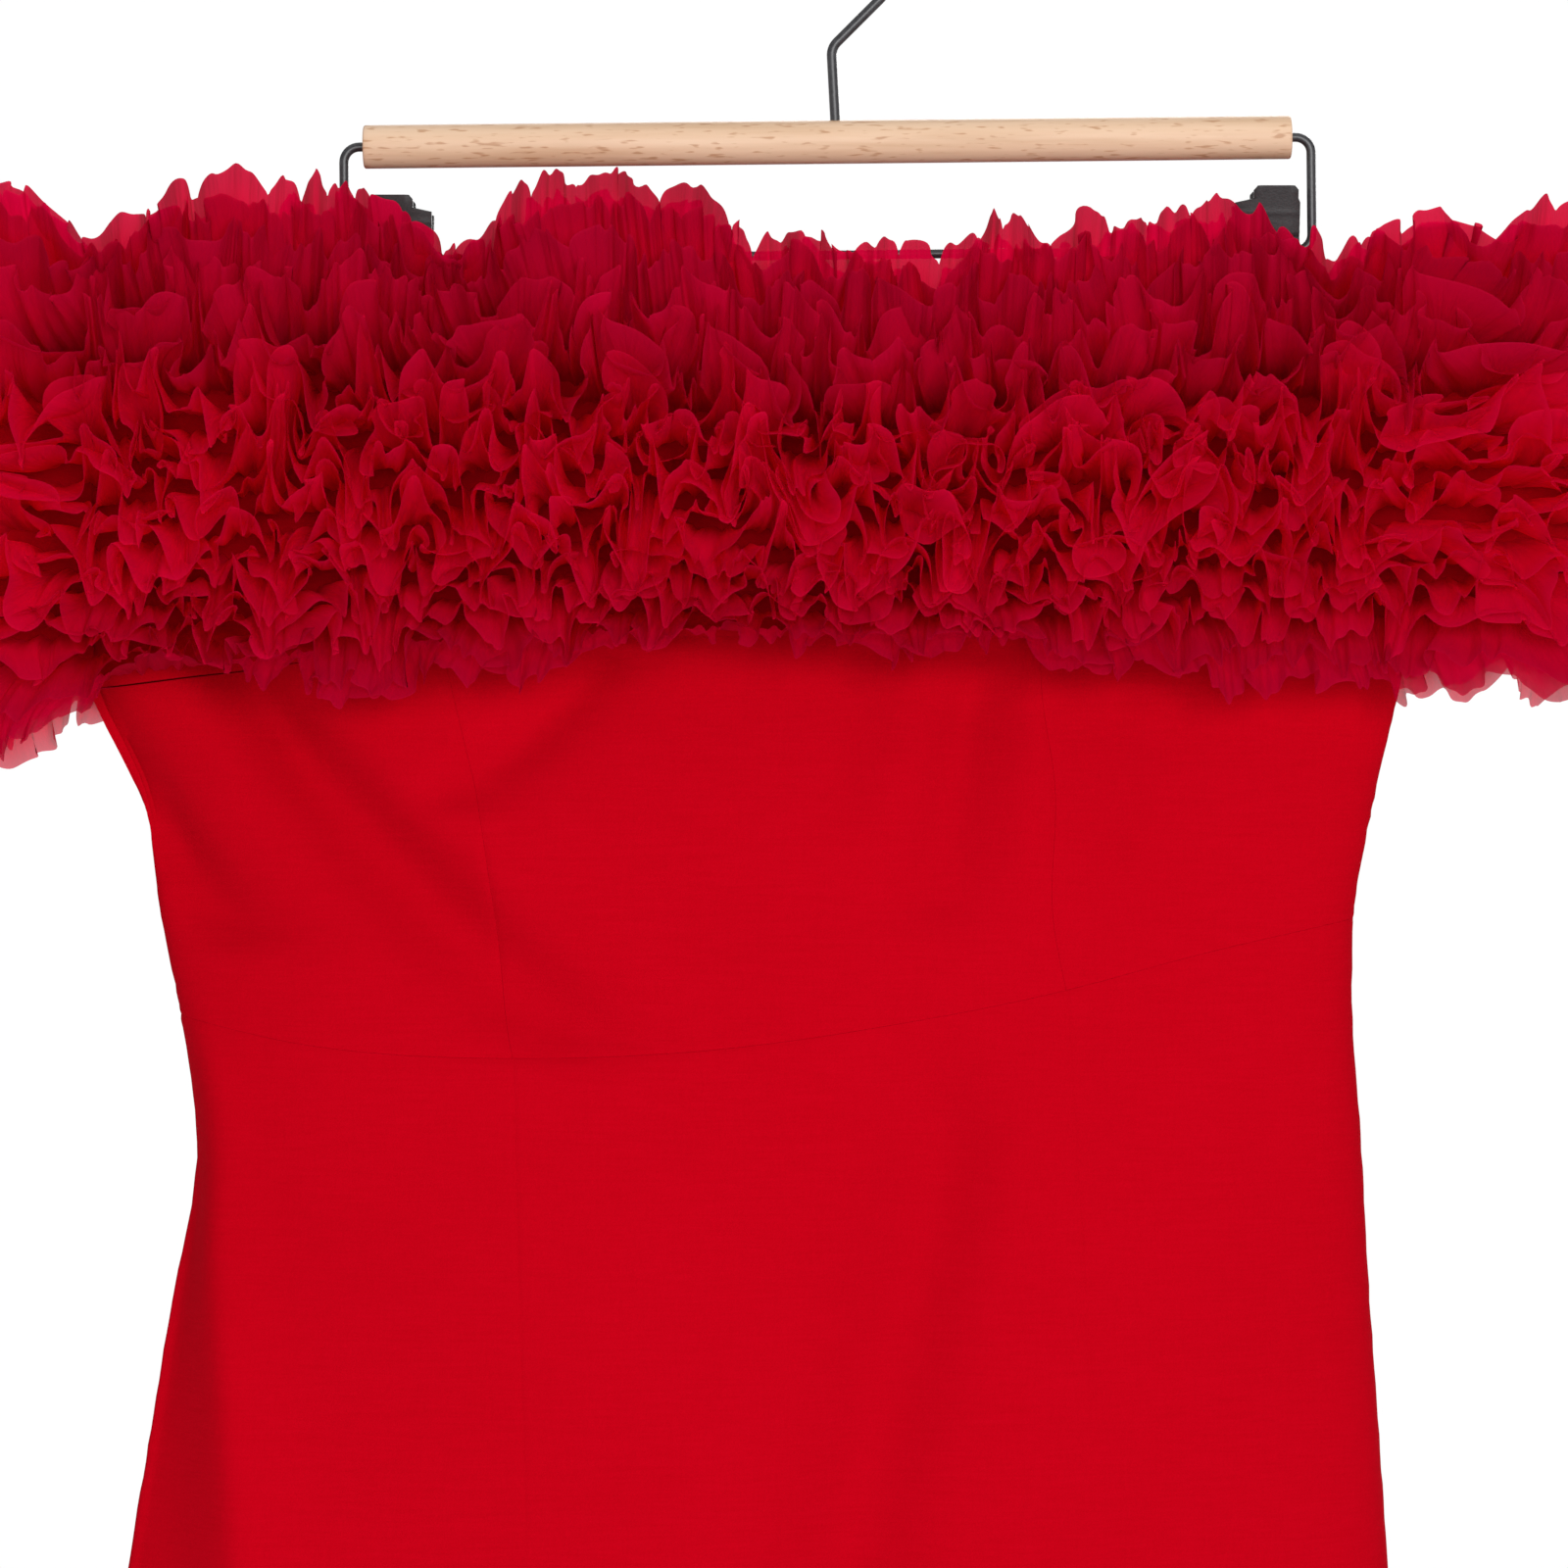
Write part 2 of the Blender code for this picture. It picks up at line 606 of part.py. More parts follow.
def centre_back_line():
    """Points of the centre back from the zip's lower end up to its top on the band."""
    waist = float(waist_height(np.array(BACK)))
    band_seam = float(band_seam_height(np.array(BACK)))
    skirt_z = np.linspace(HEM_Z, waist, SKIRT_ROWS + 1)[-1 - ZIP_SKIRT_ROWS:]
    bodice_z = np.linspace(waist, band_seam, BODICE_ROWS + 1)[1:]
    heights = np.concatenate([skirt_z, bodice_z])
    body = body_point(np.full(len(heights), BACK), heights)
    up = band_levels()
    up = up[up <= ZIP_TOP_PLACE]
    band = band_point(np.full(len(up), centre_back_x()), up, 1)
    return np.concatenate([body, band[1:]])


def add_zip():
    """Closed coil in the centre-back gap, and its slider under the ruffles."""
    line = centre_back_line()
    outward = np.array([0.0, 1.0, 0.0])
    sideways = np.array([-ZIP_WIDTH / 2, 0.0, 0.0])
    middle = line - ZIP_RECESS * outward
    outer = np.stack([middle - sideways, middle + sideways], axis=1)
    add_wall("zip_coil", outer, outer - (CREPE_WALL - ZIP_RECESS) * outward, CREPE_RED, 0.5)

    middle_x = centre_back_x()
    height = float(RING["top"](middle_x) - RING["bottom"](middle_x))
    rows = [dict(zip(SLIDER_COLUMNS, row)) for row in reversed(SLIDER_ROWS)]
    inner, outer = [], []
    for row in rows:
        place = ZIP_TOP_PLACE - TULLE_WALL / height - row["drop"] / height
        seat = band_point(np.array(middle_x), np.array(place), 1) + GAP * outward
        half = np.array([row["half_width"], 0.0, 0.0])
        inner.append([seat + half, seat - half])
        outer.append([seat + half + row["thickness"] * outward,
                      seat - half + row["thickness"] * outward])
    add_wall("zip_slider", np.array(outer), np.array(inner), CREPE_RED, 0.35)


# Hanger

def tilted(x, z):
    """A place on the level hanger, after its slight tilt about the bar's middle."""
    along, up = x - BAR_CENTRE_X, z - BAR_CENTRE_Z
    return (BAR_CENTRE_X + along * math.cos(BAR_TILT) - up * math.sin(BAR_TILT),
            BAR_CENTRE_Z + along * math.sin(BAR_TILT) + up * math.cos(BAR_TILT))


def round_corner(before, corner, after, radius, steps=5):
    """Arc that replaces a corner between two straight stretches."""
    before, corner, after = (np.array(point) for point in (before, corner, after))
    towards = (before - corner) / np.linalg.norm(before - corner)
    away = (after - corner) / np.linalg.norm(after - corner)
    half = math.acos(float(np.clip(towards @ away, -1, 1))) / 2
    middle = corner + (towards + away) / np.linalg.norm(towards + away) * radius / math.sin(half)
    start = corner + towards * radius / math.tan(half) - middle
    end = corner + away * radius / math.tan(half) - middle
    turn = math.pi - 2 * half
    arc = []
    for step in range(steps + 1):
        part = step / steps
        weight = math.sin((1 - part) * turn), math.sin(part * turn)
        arc.append(tuple(middle + (weight[0] * start + weight[1] * end) / math.sin(turn)))
    return arc


def add_wire(name, path, radius):
    """Round wire along points given by X and Z."""
    curve = bpy.data.curves.new(name, "CURVE")
    curve.dimensions = "3D"
    curve.bevel_depth = radius
    curve.bevel_resolution = 2
    curve.use_fill_caps = True
    spline = curve.splines.new("POLY")
    spline.points.add(len(path) - 1)
    for point, (x, z) in zip(spline.points, path):
        point.co = (x, 0.0, z, 1.0)
    add_object(name, curve, BLACK_WIRE, 0.4)


def add_cylinder(name, radius, length, place, along, colour, roughness, sides):
    """Round bar centred at a place, along X or Z, with the hanger's tilt."""
    angles = np.arange(sides) * 2 * math.pi / sides
    ends = []
    for end in (-length / 2, length / 2):
        ring = np.stack([np.full(sides, end), radius * np.cos(angles), radius * np.sin(angles)], axis=1)
        ends.append(ring)
    points = np.concatenate(ends)
    if along == "z":
        points = points[:, [1, 2, 0]]
    faces = [list(reversed(range(sides))), list(range(sides, 2 * sides))]
    for side in range(sides):
        following = (side + 1) % sides
        faces.append([side, following, sides + following, sides + side])
    mesh = bpy.data.meshes.new(name)
    mesh.from_pydata([tuple(point) for point in points], [], faces)
    mesh.shade_smooth()
    mesh.set_sharp_from_angle(angle=math.radians(40))
    piece = add_object(name, mesh, colour, roughness)
    x, z = tilted(*place)
    piece.location = (x, 0.0, z)
    piece.rotation_euler = (0.0, -BAR_TILT, 0.0)
    return piece


def add_hanger():
    """Wooden bar with the hook and the frame wire let into it."""
    bar = add_cylinder("hanger_bar", BAR_RADIUS, BAR_LENGTH, (BAR_CENTRE_X, BAR_CENTRE_Z),
                       "x", BEECH, 0.55, BAR_SIDES)
    half = BAR_LENGTH / 2
    sockets = (
        ("socket_left", FRAME_WIRE, (BAR_CENTRE_X - half, BAR_CENTRE_Z), "x"),
        ("socket_right", FRAME_WIRE, (BAR_CENTRE_X + half, BAR_CENTRE_Z), "x"),
        ("socket_top", HOOK_WIRE, (HOOK_STEM_X, BAR_CENTRE_Z + BAR_RADIUS), "z"),
    )
    for name, wire, place, along in sockets:
        cutter = add_cylinder(name, wire + GAP, 2 * (SOCKET_DEPTH + GAP), place, along,
                              BEECH, 0.55, 12)
        cutter.hide_render = True
        cutter.display_type = "WIRE"
        cut = bar.modifiers.new(name, "BOOLEAN")
        cut.object = cutter
        cut.operation = "DIFFERENCE"
        cut.solver = "EXACT"

    arc_z = HOOK_WIRE - HOOK_BEND
    angles = np.radians(np.linspace(HOOK_FIRST_ANGLE, HOOK_LAST_ANGLE, HOOK_ARC_STEPS + 1))
    arc = [(HOOK_BEND * math.cos(a), arc_z + HOOK_BEND * math.sin(a)) for a in angles]
    run = arc[0][0] - HOOK_KINK_X
    kink = (HOOK_KINK_X, arc[0][1] - run)
    stem = tilted(HOOK_STEM_X, BAR_CENTRE_Z + BAR_RADIUS - SOCKET_DEPTH)
    add_wire("hanger_hook", [stem] + round_corner(stem, kink, arc[0], 0.006) + arc, HOOK_WIRE)

    left = BAR_CENTRE_X - half - FRAME_OUTREACH
    right = BAR_CENTRE_X + half + FRAME_OUTREACH
    low = BAR_CENTRE_Z - FRAME_DROP
    corners = [
        (BAR_CENTRE_X - half + SOCKET_DEPTH, BAR_CENTRE_Z),
        (left, BAR_CENTRE_Z),
        (left, low),
        (right, low),
        (right, BAR_CENTRE_Z),
        (BAR_CENTRE_X + half - SOCKET_DEPTH, BAR_CENTRE_Z),
    ]
    path = [corners[0]]
    for before, corner, after in zip(corners, corners[1:], corners[2:]):
        path += round_corner(before, corner, after, FRAME_CORNER)
    path.append(corners[-1])
    add_wire("hanger_frame", [tilted(x, z) for x, z in path], FRAME_WIRE)


def add_jaw(name, clip_x, face):
    """One lever of a clip: wide where it grips, narrow at its handle."""
    wire_z = tilted(clip_x, BAR_CENTRE_Z - FRAME_DROP)[1]
    away = math.copysign(1.0, clip_x)
    edges = np.array([-JAW_REACH_IN, -CLIP_HANDLE_WIDTH / 2, CLIP_HANDLE_WIDTH / 2, JAW_REACH_OUT])
    across = sorted(away * edges, reverse=face > 0)
    outer, inner = [], []
    for row in JAW_ROWS:
        jaw = dict(zip(JAW_COLUMNS, row))
        z = wire_z + jaw["height"]
        inner.append([(clip_x + x, face * jaw["inner"], z) for x in across])
        outer.append([(clip_x + x, face * (jaw["inner"] + JAW_WALL), z) for x in across])
    cells = np.ones((len(JAW_ROWS) - 1, 3), dtype=bool)
    cells[-1, 0] = False
    cells[-1, 2] = False
    add_wall(name, np.array(outer), np.array(inner), BLACK_CLIP, 0.5, cells)


def add_clips():
    for side, clip_x in (("left", -CLIP_X), ("right", CLIP_X)):
        add_jaw(f"clip_{side}_front_jaw", clip_x, -1)
        add_jaw(f"clip_{side}_back_jaw", clip_x, 1)


def main():
    for old in list(bpy.data.objects):
        bpy.data.objects.remove(old)
    add_hanger()
    add_clips()
    add_bodice()
    add_skirt()
    add_band()
    add_zip()


main()
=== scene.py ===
"""Looks of the off-shoulder mini dress: crepe panels, gathered ruffles and the clip hanger."""

import math

import bpy
import numpy as np
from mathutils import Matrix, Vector


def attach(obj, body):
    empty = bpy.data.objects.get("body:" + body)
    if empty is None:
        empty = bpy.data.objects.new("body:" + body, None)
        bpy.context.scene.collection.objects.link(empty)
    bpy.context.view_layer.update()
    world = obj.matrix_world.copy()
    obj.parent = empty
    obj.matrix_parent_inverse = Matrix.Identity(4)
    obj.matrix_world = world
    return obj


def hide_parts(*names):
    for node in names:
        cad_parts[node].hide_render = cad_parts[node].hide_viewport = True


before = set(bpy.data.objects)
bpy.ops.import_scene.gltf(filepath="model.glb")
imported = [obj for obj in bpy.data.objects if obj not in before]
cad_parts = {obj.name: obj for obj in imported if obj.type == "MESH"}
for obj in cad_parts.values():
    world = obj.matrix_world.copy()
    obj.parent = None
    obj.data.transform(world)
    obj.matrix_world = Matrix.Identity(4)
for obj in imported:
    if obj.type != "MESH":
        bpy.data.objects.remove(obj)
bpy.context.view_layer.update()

# The model's sizes, in metres, as the solids have them
PINCHED_DEPTH = 0.00165
CLIP_X, CLIP_HANDLE_WIDTH, JAW_WALL = 0.1427, 0.0144, 0.003
JAW_REACH_IN, JAW_REACH_OUT = 0.0132, 0.0078
JAW_GRIP = 0.012
HEM_Z, WAIST_MIDDLE_Z = -0.821, -0.365
BODY_COLUMNS = ("z", "left", "right", "depth", "power", "turn")
BODY_SECTIONS = (
    (-0.236, -0.246, 0.187, 0.025, 2.1, 0.0),
    (-0.258, -0.239, 0.183, 0.029, 2.1, 0.0),
    (-0.290, -0.224, 0.176, 0.034, 2.2, 0.5),
    (-0.330, -0.217, 0.169, 0.036, 2.2, 1.5),
    (-0.365, -0.210, 0.1685, 0.036, 2.3, 2.5),
    (-0.405, -0.205, 0.172, 0.038, 2.3, 3.5),
    (-0.459, -0.214, 0.176, 0.043, 2.4, 4.5),
    (-0.541, -0.227, 0.183, 0.048, 2.4, 6.0),
    (-0.680, -0.242, 0.196, 0.052, 2.4, 7.5),
    (-0.821, -0.254, 0.208, 0.054, 2.4, 8.5),
)
MILLIMETRES = 1000
# Waist seam (x, z) in millimetres
WAIST_SEAM = (
    (-210, -362), (-174, -370), (-102, -375), (-48, -373),
    (16, -365), (74, -354), (121, -342), (170, -331),
)
# Princess seams: where each meets the waist and the band
PRINCESS_SEAMS = {"left": (-0.102, -0.125), "right": (0.074, 0.066)}
# Waist darts of the skirt: side, place at the waist, and place and height where they end
DARTS = {
    "front_left": ("front", -0.102, -0.097, -0.527),
    "front_right": ("front", 0.074, 0.083, -0.497),
    "back_right": ("back", 0.070, 0.074, -0.505),
    "back_left": ("back", -0.118, -0.122, -0.505),
}
# Folds by side, in millimetres: three places (x, z) from top to foot, depth, width at top and foot
FOLDS = {
    "front": (
        (-194, -248, -158, -296, -87, -369, 7, 12, 19),
        (-243, -250, -216, -295, -190, -335, 6, 10, 18),
        (-70, -250, -92, -270, -117, -294, 3, 10, 14),
        (48, -248, 43, -275, 33, -329, 3.5, 12, 16),
        (28, -400, 2, -525, -36, -821, 7.5, 20, 38),
        (-204, -400, -186, -535, -165, -821, -6, 14, 26),
        (120, -560, 122, -680, 130, -821, 5, 25, 40),
    ),
    "back": (
        (120, -250, 100, -300, 60, -360, 6, 14, 26),
        (-150, -250, -130, -290, -115, -330, 4, 12, 18),
        (-100, -410, -105, -560, -120, -821, 8, 24, 48),
        (75, -430, 90, -600, 105, -821, 7, 24, 45),
    ),
}
FOLD_FADE, CREASE_FADE = 0.12, 0.50
# Smaller creases that only this model has, as the folds
CREASES = {
    "front": (
        (-196, -246, -150, -299, -85, -369, 6.2, 10, 14),
        (-246, -250, -219, -295, -192, -338, 5.5, 5, 10),
        (-234, -250, -208, -295, -180, -335, -1.4, 5, 10),
        (-74, -248, -96, -270, -121, -294, 3.6, 6, 10),
        (45, -246, 40, -275, 30, -329, 3, 6, 12),
        (64, -248, 63, -290, 62, -335, -2.4, 8, 11),
        (92, -262, 91, -286, 90, -318, 1.6, 8, 12),
        (12, -248, 6, -276, -1, -306, 1.8, 8, 12),
        (46, -250, 44, -254, 42, -262, -1, 6, 6),
        (-176, -270, -150, -318, -112, -358, 1.2, 6, 10),
        (36, -420, 8, -525, -34, -821, 4.8, 15, 24),
        (-207, -410, -215, -540, -238, -821, 8.5, 8, 36),
        (-202, -400, -188, -535, -165, -821, -2, 5, 9),
    ),
    "back": (
        (30, -250, 24, -285, 20, -315, 1.8, 8, 12),
        (-70, -250, -66, -276, -60, -300, 1.6, 7, 11),
        (150, -262, 132, -300, 118, -334, 1.6, 7, 11),
        (118, -250, 98, -300, 58, -360, 2.8, 7, 14),
        (-100, -450, -106, -600, -122, -821, 2.8, 14, 28),
    ),
}
# Edges of the band, in millimetres
RING_COLUMNS = ("x", "top", "bottom")
RING_EDGES = (
    (-323, -131, -263), (-240, -126, -257), (-143, -127, -246),
    (-50, -138, -241), (20, -147, -241), (80, -140, -242),
    (143, -131, -243), (184, -130, -243), (292, -134, -238),
)
UNDERARM_LEFT_X, UNDERARM_RIGHT_X = -0.239, 0.1845
SLEEVE_LEFT_REACH, SLEEVE_RIGHT_REACH = 0.084, 0.107
BAND_TOP_DEPTH = 0.015
SLEEVE_TOP_BULGE, SLEEVE_CUFF_BULGE = 0.005, 0.018
PINCH_FLAT, PINCH_REACH = 0.020, 0.065
LEFT_SIDE, RIGHT_SIDE, BACK = 0.0, math.pi, 1.5 * math.pi
SMALL_STEP = 0.001

# Photograph: the dress's plane is 507 mm wide in it, seen from 1.8 m
CAMERA_PLACE = (-0.0159, -1.800, -0.2879)
CAMERA_LENS, CAMERA_SENSOR = 127.7, 36.0
FLOOR_Z, FLOOR_SIZE = -1.75, 16.0
# How bright the surroundings are by height, white at the horizon; and the lights' place, size and power
SKY_TONES = ((0.15, 1.0), (0.21, 0.225), (0.55, 0.225), (0.75, 0.88))
SKY_STRENGTH, EXPOSURE = 0.80, 0.33
LIGHTS_AIM = (0.0, 0.0, -0.35)
LIGHTS = (
    ("key", (0.95, -2.7, 0.3), 1.1, 31.5),
    ("front", (-0.05, -2.9, -0.08), 1.2, 27.5),
    ("rear", (0.6, 2.4, 0.9), 1.6, 50.0),
)


# Shared reading of tables

def curve_through(knots, values):
    """Smooth curve through a few points, level past its ends."""
    order = np.argsort(knots)
    knots, values = knots[order], values[order]
    slopes = np.gradient(values, knots)

    def read(where):
        where = np.clip(where, knots[0], knots[-1])
        span = np.clip(np.searchsorted(knots, where) - 1, 0, len(knots) - 2)
        width = knots[span + 1] - knots[span]
        part = (where - knots[span]) / width
        ends = values[span] * (1 + 2 * part) * (1 - part) ** 2
        ends = ends + values[span + 1] * part ** 2 * (3 - 2 * part)
        bend = slopes[span] * part * (1 - part) ** 2 - slopes[span + 1] * part ** 2 * (1 - part)
        return ends + width * bend

    return read


def table_curves(table, columns, unit=1):
    """A curve for each column of a table, read by its first one."""
    first, *others = np.array(table).T / unit
    return {name: curve_through(first, values) for name, values in zip(columns[1:], others)}


def edge_curve(table):
    """A curve through places (x, z) in millimetres."""
    return curve_through(*np.array(table).T / MILLIMETRES)


def ease(value):
    """Smooth step from 0 to 1."""
    value = np.clip(value, 0.0, 1.0)
    return value * value * (3 - 2 * value)


def blend(start, end, part):
    return start + (end - start) * part


BODY = table_curves(BODY_SECTIONS, BODY_COLUMNS)
WAIST = edge_curve(WAIST_SEAM)
RING = table_curves(RING_EDGES, RING_COLUMNS, MILLIMETRES)


# The dress's own surfaces

def fold_depth(x, z, face, folds=FOLDS, foot_fade=0.2):
    """How far folds press the cloth in at a place on the front or back."""
    total = np.zeros(np.broadcast(x, z).shape)
    for row in np.array(folds[face]) / MILLIMETRES:
        top_x, top_z, middle_x, middle_z, foot_x, foot_z, depth, top_width, foot_width = row
        bend = np.polyfit((top_z, middle_z, foot_z), (top_x, middle_x, foot_x), 2)
        along = (top_z - z) / (top_z - foot_z)
        level = np.clip(z, foot_z, top_z)
        slope = np.polyval(np.polyder(bend), level)
        off = (x - np.polyval(bend, level)) / np.sqrt(1 + slope ** 2)
        width = blend(top_width, foot_width, np.clip(along, 0, 1))
        fade = ease((along + FOLD_FADE) / FOLD_FADE) * ease((1 + FOLD_FADE - along) / foot_fade)
        total = total + depth * np.exp(-(off / width) ** 2) * fade
    return total


def rounded(value, power):
    return np.sign(value) * np.abs(value) ** (2 / power)


def body_point(angle, z, creased=False):
    """Outside of the dress at an angle round it, from the left side by the front."""
    left, right = BODY["left"](z), BODY["right"](z)
    power, turn = BODY["power"](z), np.radians(BODY["turn"](z))
    x = -(right - left) / 2 * rounded(np.cos(angle), power)
    y = -BODY["depth"](z) * rounded(np.sin(angle), power)
    middle = (left + right) / 2
    turned_x = middle + x * np.cos(turn) - y * np.sin(turn)
    turned_y = x * np.sin(turn) + y * np.cos(turn)
    facing = np.sin(angle)
    for folds, foot_fade, firm in ((FOLDS, 0.2, 3), (CREASES, CREASE_FADE, 6))[:2 if creased else 1]:
        pressed = np.where(facing > 0, fold_depth(turned_x, z, "front", folds, foot_fade),
                           -fold_depth(turned_x, z, "back", folds, foot_fade))
        turned_y = turned_y + pressed * np.minimum(1.0, firm * np.abs(facing))
    return np.stack(np.broadcast_arrays(turned_x, turned_y, z), axis=-1)


def body_angle(x, z, face="front"):
    """Angle at which the dress crosses a place from left to right."""
    span = (LEFT_SIDE, RIGHT_SIDE) if face == "front" else (2 * math.pi, RIGHT_SIDE)
    angles = np.linspace(*span, 1441)
    return float(np.interp(x, body_point(angles, z)[:, 0], angles))


def waist_height(angle):
    return WAIST(body_point(angle, WAIST_MIDDLE_Z)[..., 0])


def band_seam_height(angle):
    level = float(RING["bottom"](0.0))
    return RING["bottom"](body_point(angle, level)[..., 0])


def centre_back_x():
    return float(body_point(np.array(BACK), band_seam_height(np.array(BACK)))[0])


def level_normal(along):
    across = np.stack([along[..., 1], -along[..., 0], np.zeros_like(along[..., 0])], axis=-1)
    return across / np.linalg.norm(across, axis=-1, keepdims=True)


def body_half_depth(x, z):
    left, right = BODY["left"](z), BODY["right"](z)
    across = np.clip(np.abs(2 * x - left - right) / (right - left), 0, 1)
    power = BODY["power"](z)
    return BODY["depth"](z) * (1 - across ** power) ** (1 / power)


def band_half_depth(x, up):
    """Half the depth of the band: pinched at its top by the clips, open below."""
    bottom = np.hypot(body_half_depth(x, RING["bottom"](x)), PINCHED_DEPTH)
    free = blend(bottom, BAND_TOP_DEPTH, ease(up))
    beside_clip = np.minimum(np.abs(x - CLIP_X), np.abs(x + CLIP_X))
    pinch = 1 - ease((beside_clip - PINCH_FLAT) / (PINCH_REACH - PINCH_FLAT))
    pinch = pinch * ease(up / (1 - JAW_GRIP / (RING["top"](x) - RING["bottom"](x))))
    return blend(free, PINCHED_DEPTH, pinch)


def band_point(x, up, face):
    """Outside of the band on the front (-1) or back (1)."""
    z = RING["bottom"](x) + up * (RING["top"](x) - RING["bottom"](x))
    name = "front" if face < 0 else "back"
    pressed = fold_depth(x, z, name) * (1 - ease(2 * up))
    depth = np.maximum(band_half_depth(x, up) - pressed, PINCHED_DEPTH)
    return np.stack(np.broadcast_arrays(x, face * depth, z), axis=-1)


def sleeve_point(turn, up, seam_x, reach):
    """Outside of a sleeve, turning from the back seam (0) to the front seam (pi)."""
    x = seam_x + reach * np.sin(turn)
    depth = band_half_depth(np.full_like(up, seam_x), up)
    bulge = blend(SLEEVE_CUFF_BULGE, SLEEVE_TOP_BULGE, ease(up))
    y = depth * np.cos(turn) + bulge * np.sin(2 * turn)
    z = RING["bottom"](x) + up * (RING["top"](x) - RING["bottom"](x))
    return np.stack(np.broadcast_arrays(x, y, z), axis=-1)


CENTRE_BACK_X = centre_back_x()
# Stretches of the ring from the centre back, with the length of each
RING_PARTS = (
    ("back_left", CENTRE_BACK_X - UNDERARM_LEFT_X),
    ("sleeve_left", 0.190),
    ("front", UNDERARM_RIGHT_X - UNDERARM_LEFT_X),
    ("sleeve_right", 0.240),
    ("back_right", UNDERARM_RIGHT_X - CENTRE_BACK_X),
)
RING_LENGTH = sum(length for _, length in RING_PARTS)


def part_surface(name, way, up):
    """A stretch of the band at a way round it (0 to 1) and up it (0 to 1)."""
    if name == "front":
        return band_point(blend(UNDERARM_LEFT_X, UNDERARM_RIGHT_X, way), up, -1)
    if name == "back_left":
        return band_point(blend(CENTRE_BACK_X, UNDERARM_LEFT_X, way), up, 1)
    if name == "back_right":
        return band_point(blend(UNDERARM_RIGHT_X, CENTRE_BACK_X, way), up, 1)
    if name == "sleeve_left":
        return sleeve_point(math.pi * way, up, UNDERARM_LEFT_X, -SLEEVE_LEFT_REACH)
    return sleeve_point(math.pi * (1 - way), up, UNDERARM_RIGHT_X, SLEEVE_RIGHT_REACH)


def part_turn(name, way):
    """Turn of the level direction that stands off the band, from straight back."""
    return {"back_left": 0 * way, "sleeve_left": math.pi * way, "front": math.pi + 0 * way,
            "sleeve_right": math.pi * (1 + way), "back_right": 2 * math.pi + 0 * way}[name]


def ring_point(along, up):
    """Point of the band and its outward level direction, at a length round the ring."""
    along = np.mod(along, RING_LENGTH)
    point, heading = np.zeros(along.shape + (3,)), np.zeros(along.shape + (3,))
    start = 0.0
    for name, length in RING_PARTS:
        here = (along >= start) & (along < start + length)
        way = (along[here] - start) / length
        point[here] = part_surface(name, way, up[here])
        turn = part_turn(name, way)
        heading[here] = np.stack([-np.sin(turn), np.cos(turn), 0 * turn], axis=-1)
        start += length
    return point, heading


# Materials

TULLE_PASSES = 0.62
# Tulle by strips from the lowest: how many, how bright, and how closely its tips cover. The brightness is
# painted light and shade: the middle strips are lit up and the lowest and highest darkened, as lit and
# shaded copies of one tulle.
PAINTED_SHADE_TULLES = (
    ("tulle_lowest", 2, 0.70, 0.84),
    ("tulle_low", 3, 0.93, 0.84),
    ("tulle", 8, 1.03, 0.80),
    ("tulle_high", 3, 0.84, 0.88),
    ("tulle_highest", 3, 0.69, 0.985),
)


class Nodes:
    """The node tree of a material, or of the world, with short ways to add and link nodes."""

    def __init__(self, name, kind="materials", shader="Principled BSDF"):
        self.owner = getattr(bpy.data, kind).new(name)
        self.owner.use_nodes = True
        self.tree = self.owner.node_tree
        self.shader = self.tree.nodes[shader]

    def add(self, kind, inputs=(), **settings):
        node = self.tree.nodes.new(kind)
        for key, value in settings.items():
            setattr(node, key, value)
        for key, value in dict(inputs).items():
            if isinstance(value, bpy.types.NodeSocket):
                self.tree.links.new(value, node.inputs[key])
            else:
                node.inputs[key].default_value = value
        return node

    def link(self, output, socket):
        self.tree.links.new(output, socket)

    def paint(self, colour):
        """Link the shader's first input, which is its colour."""
        self.link(colour, self.shader.inputs[0])

    def ramp(self, factor, stops):
        node = self.add("ShaderNodeValToRGB", {"Fac": factor})
        elements = node.color_ramp.elements
        while len(elements) < len(stops):
            elements.new(0.5)
        for element, (place, colour) in zip(elements, stops):
            element.position = place
            element.color = (*colour, 1.0)
        return node.outputs["Color"]

    def mapped(self, scale=(1, 1, 1)):
        place = self.add("ShaderNodeTexCoord").outputs["Object"]
        return self.add("ShaderNodeMapping", {"Vector": place, "Scale": scale}).outputs["Vector"]

    def noise(self, vector, scale, detail=2.0, roughness=0.5):
        node = self.add("ShaderNodeTexNoise", {"Vector": vector, "Scale": scale,
                                               "Detail": detail, "Roughness": roughness})
        return node.outputs["Fac"]

    def maths(self, operation, first, second=0.5):
        node = self.add("ShaderNodeMath", {0: first, 1: second}, operation=operation)
        return node.outputs["Value"]

    def bump(self, height, distance, strength=1.0):
        node = self.add("ShaderNodeBump", {"Height": height, "Distance": distance,
                                           "Strength": strength})
        self.link(node.outputs["Normal"], self.shader.inputs["Normal"])
        return node

    def set(self, **values):
        for key, value in values.items():
            self.shader.inputs[key.replace("_", " ")].default_value = value


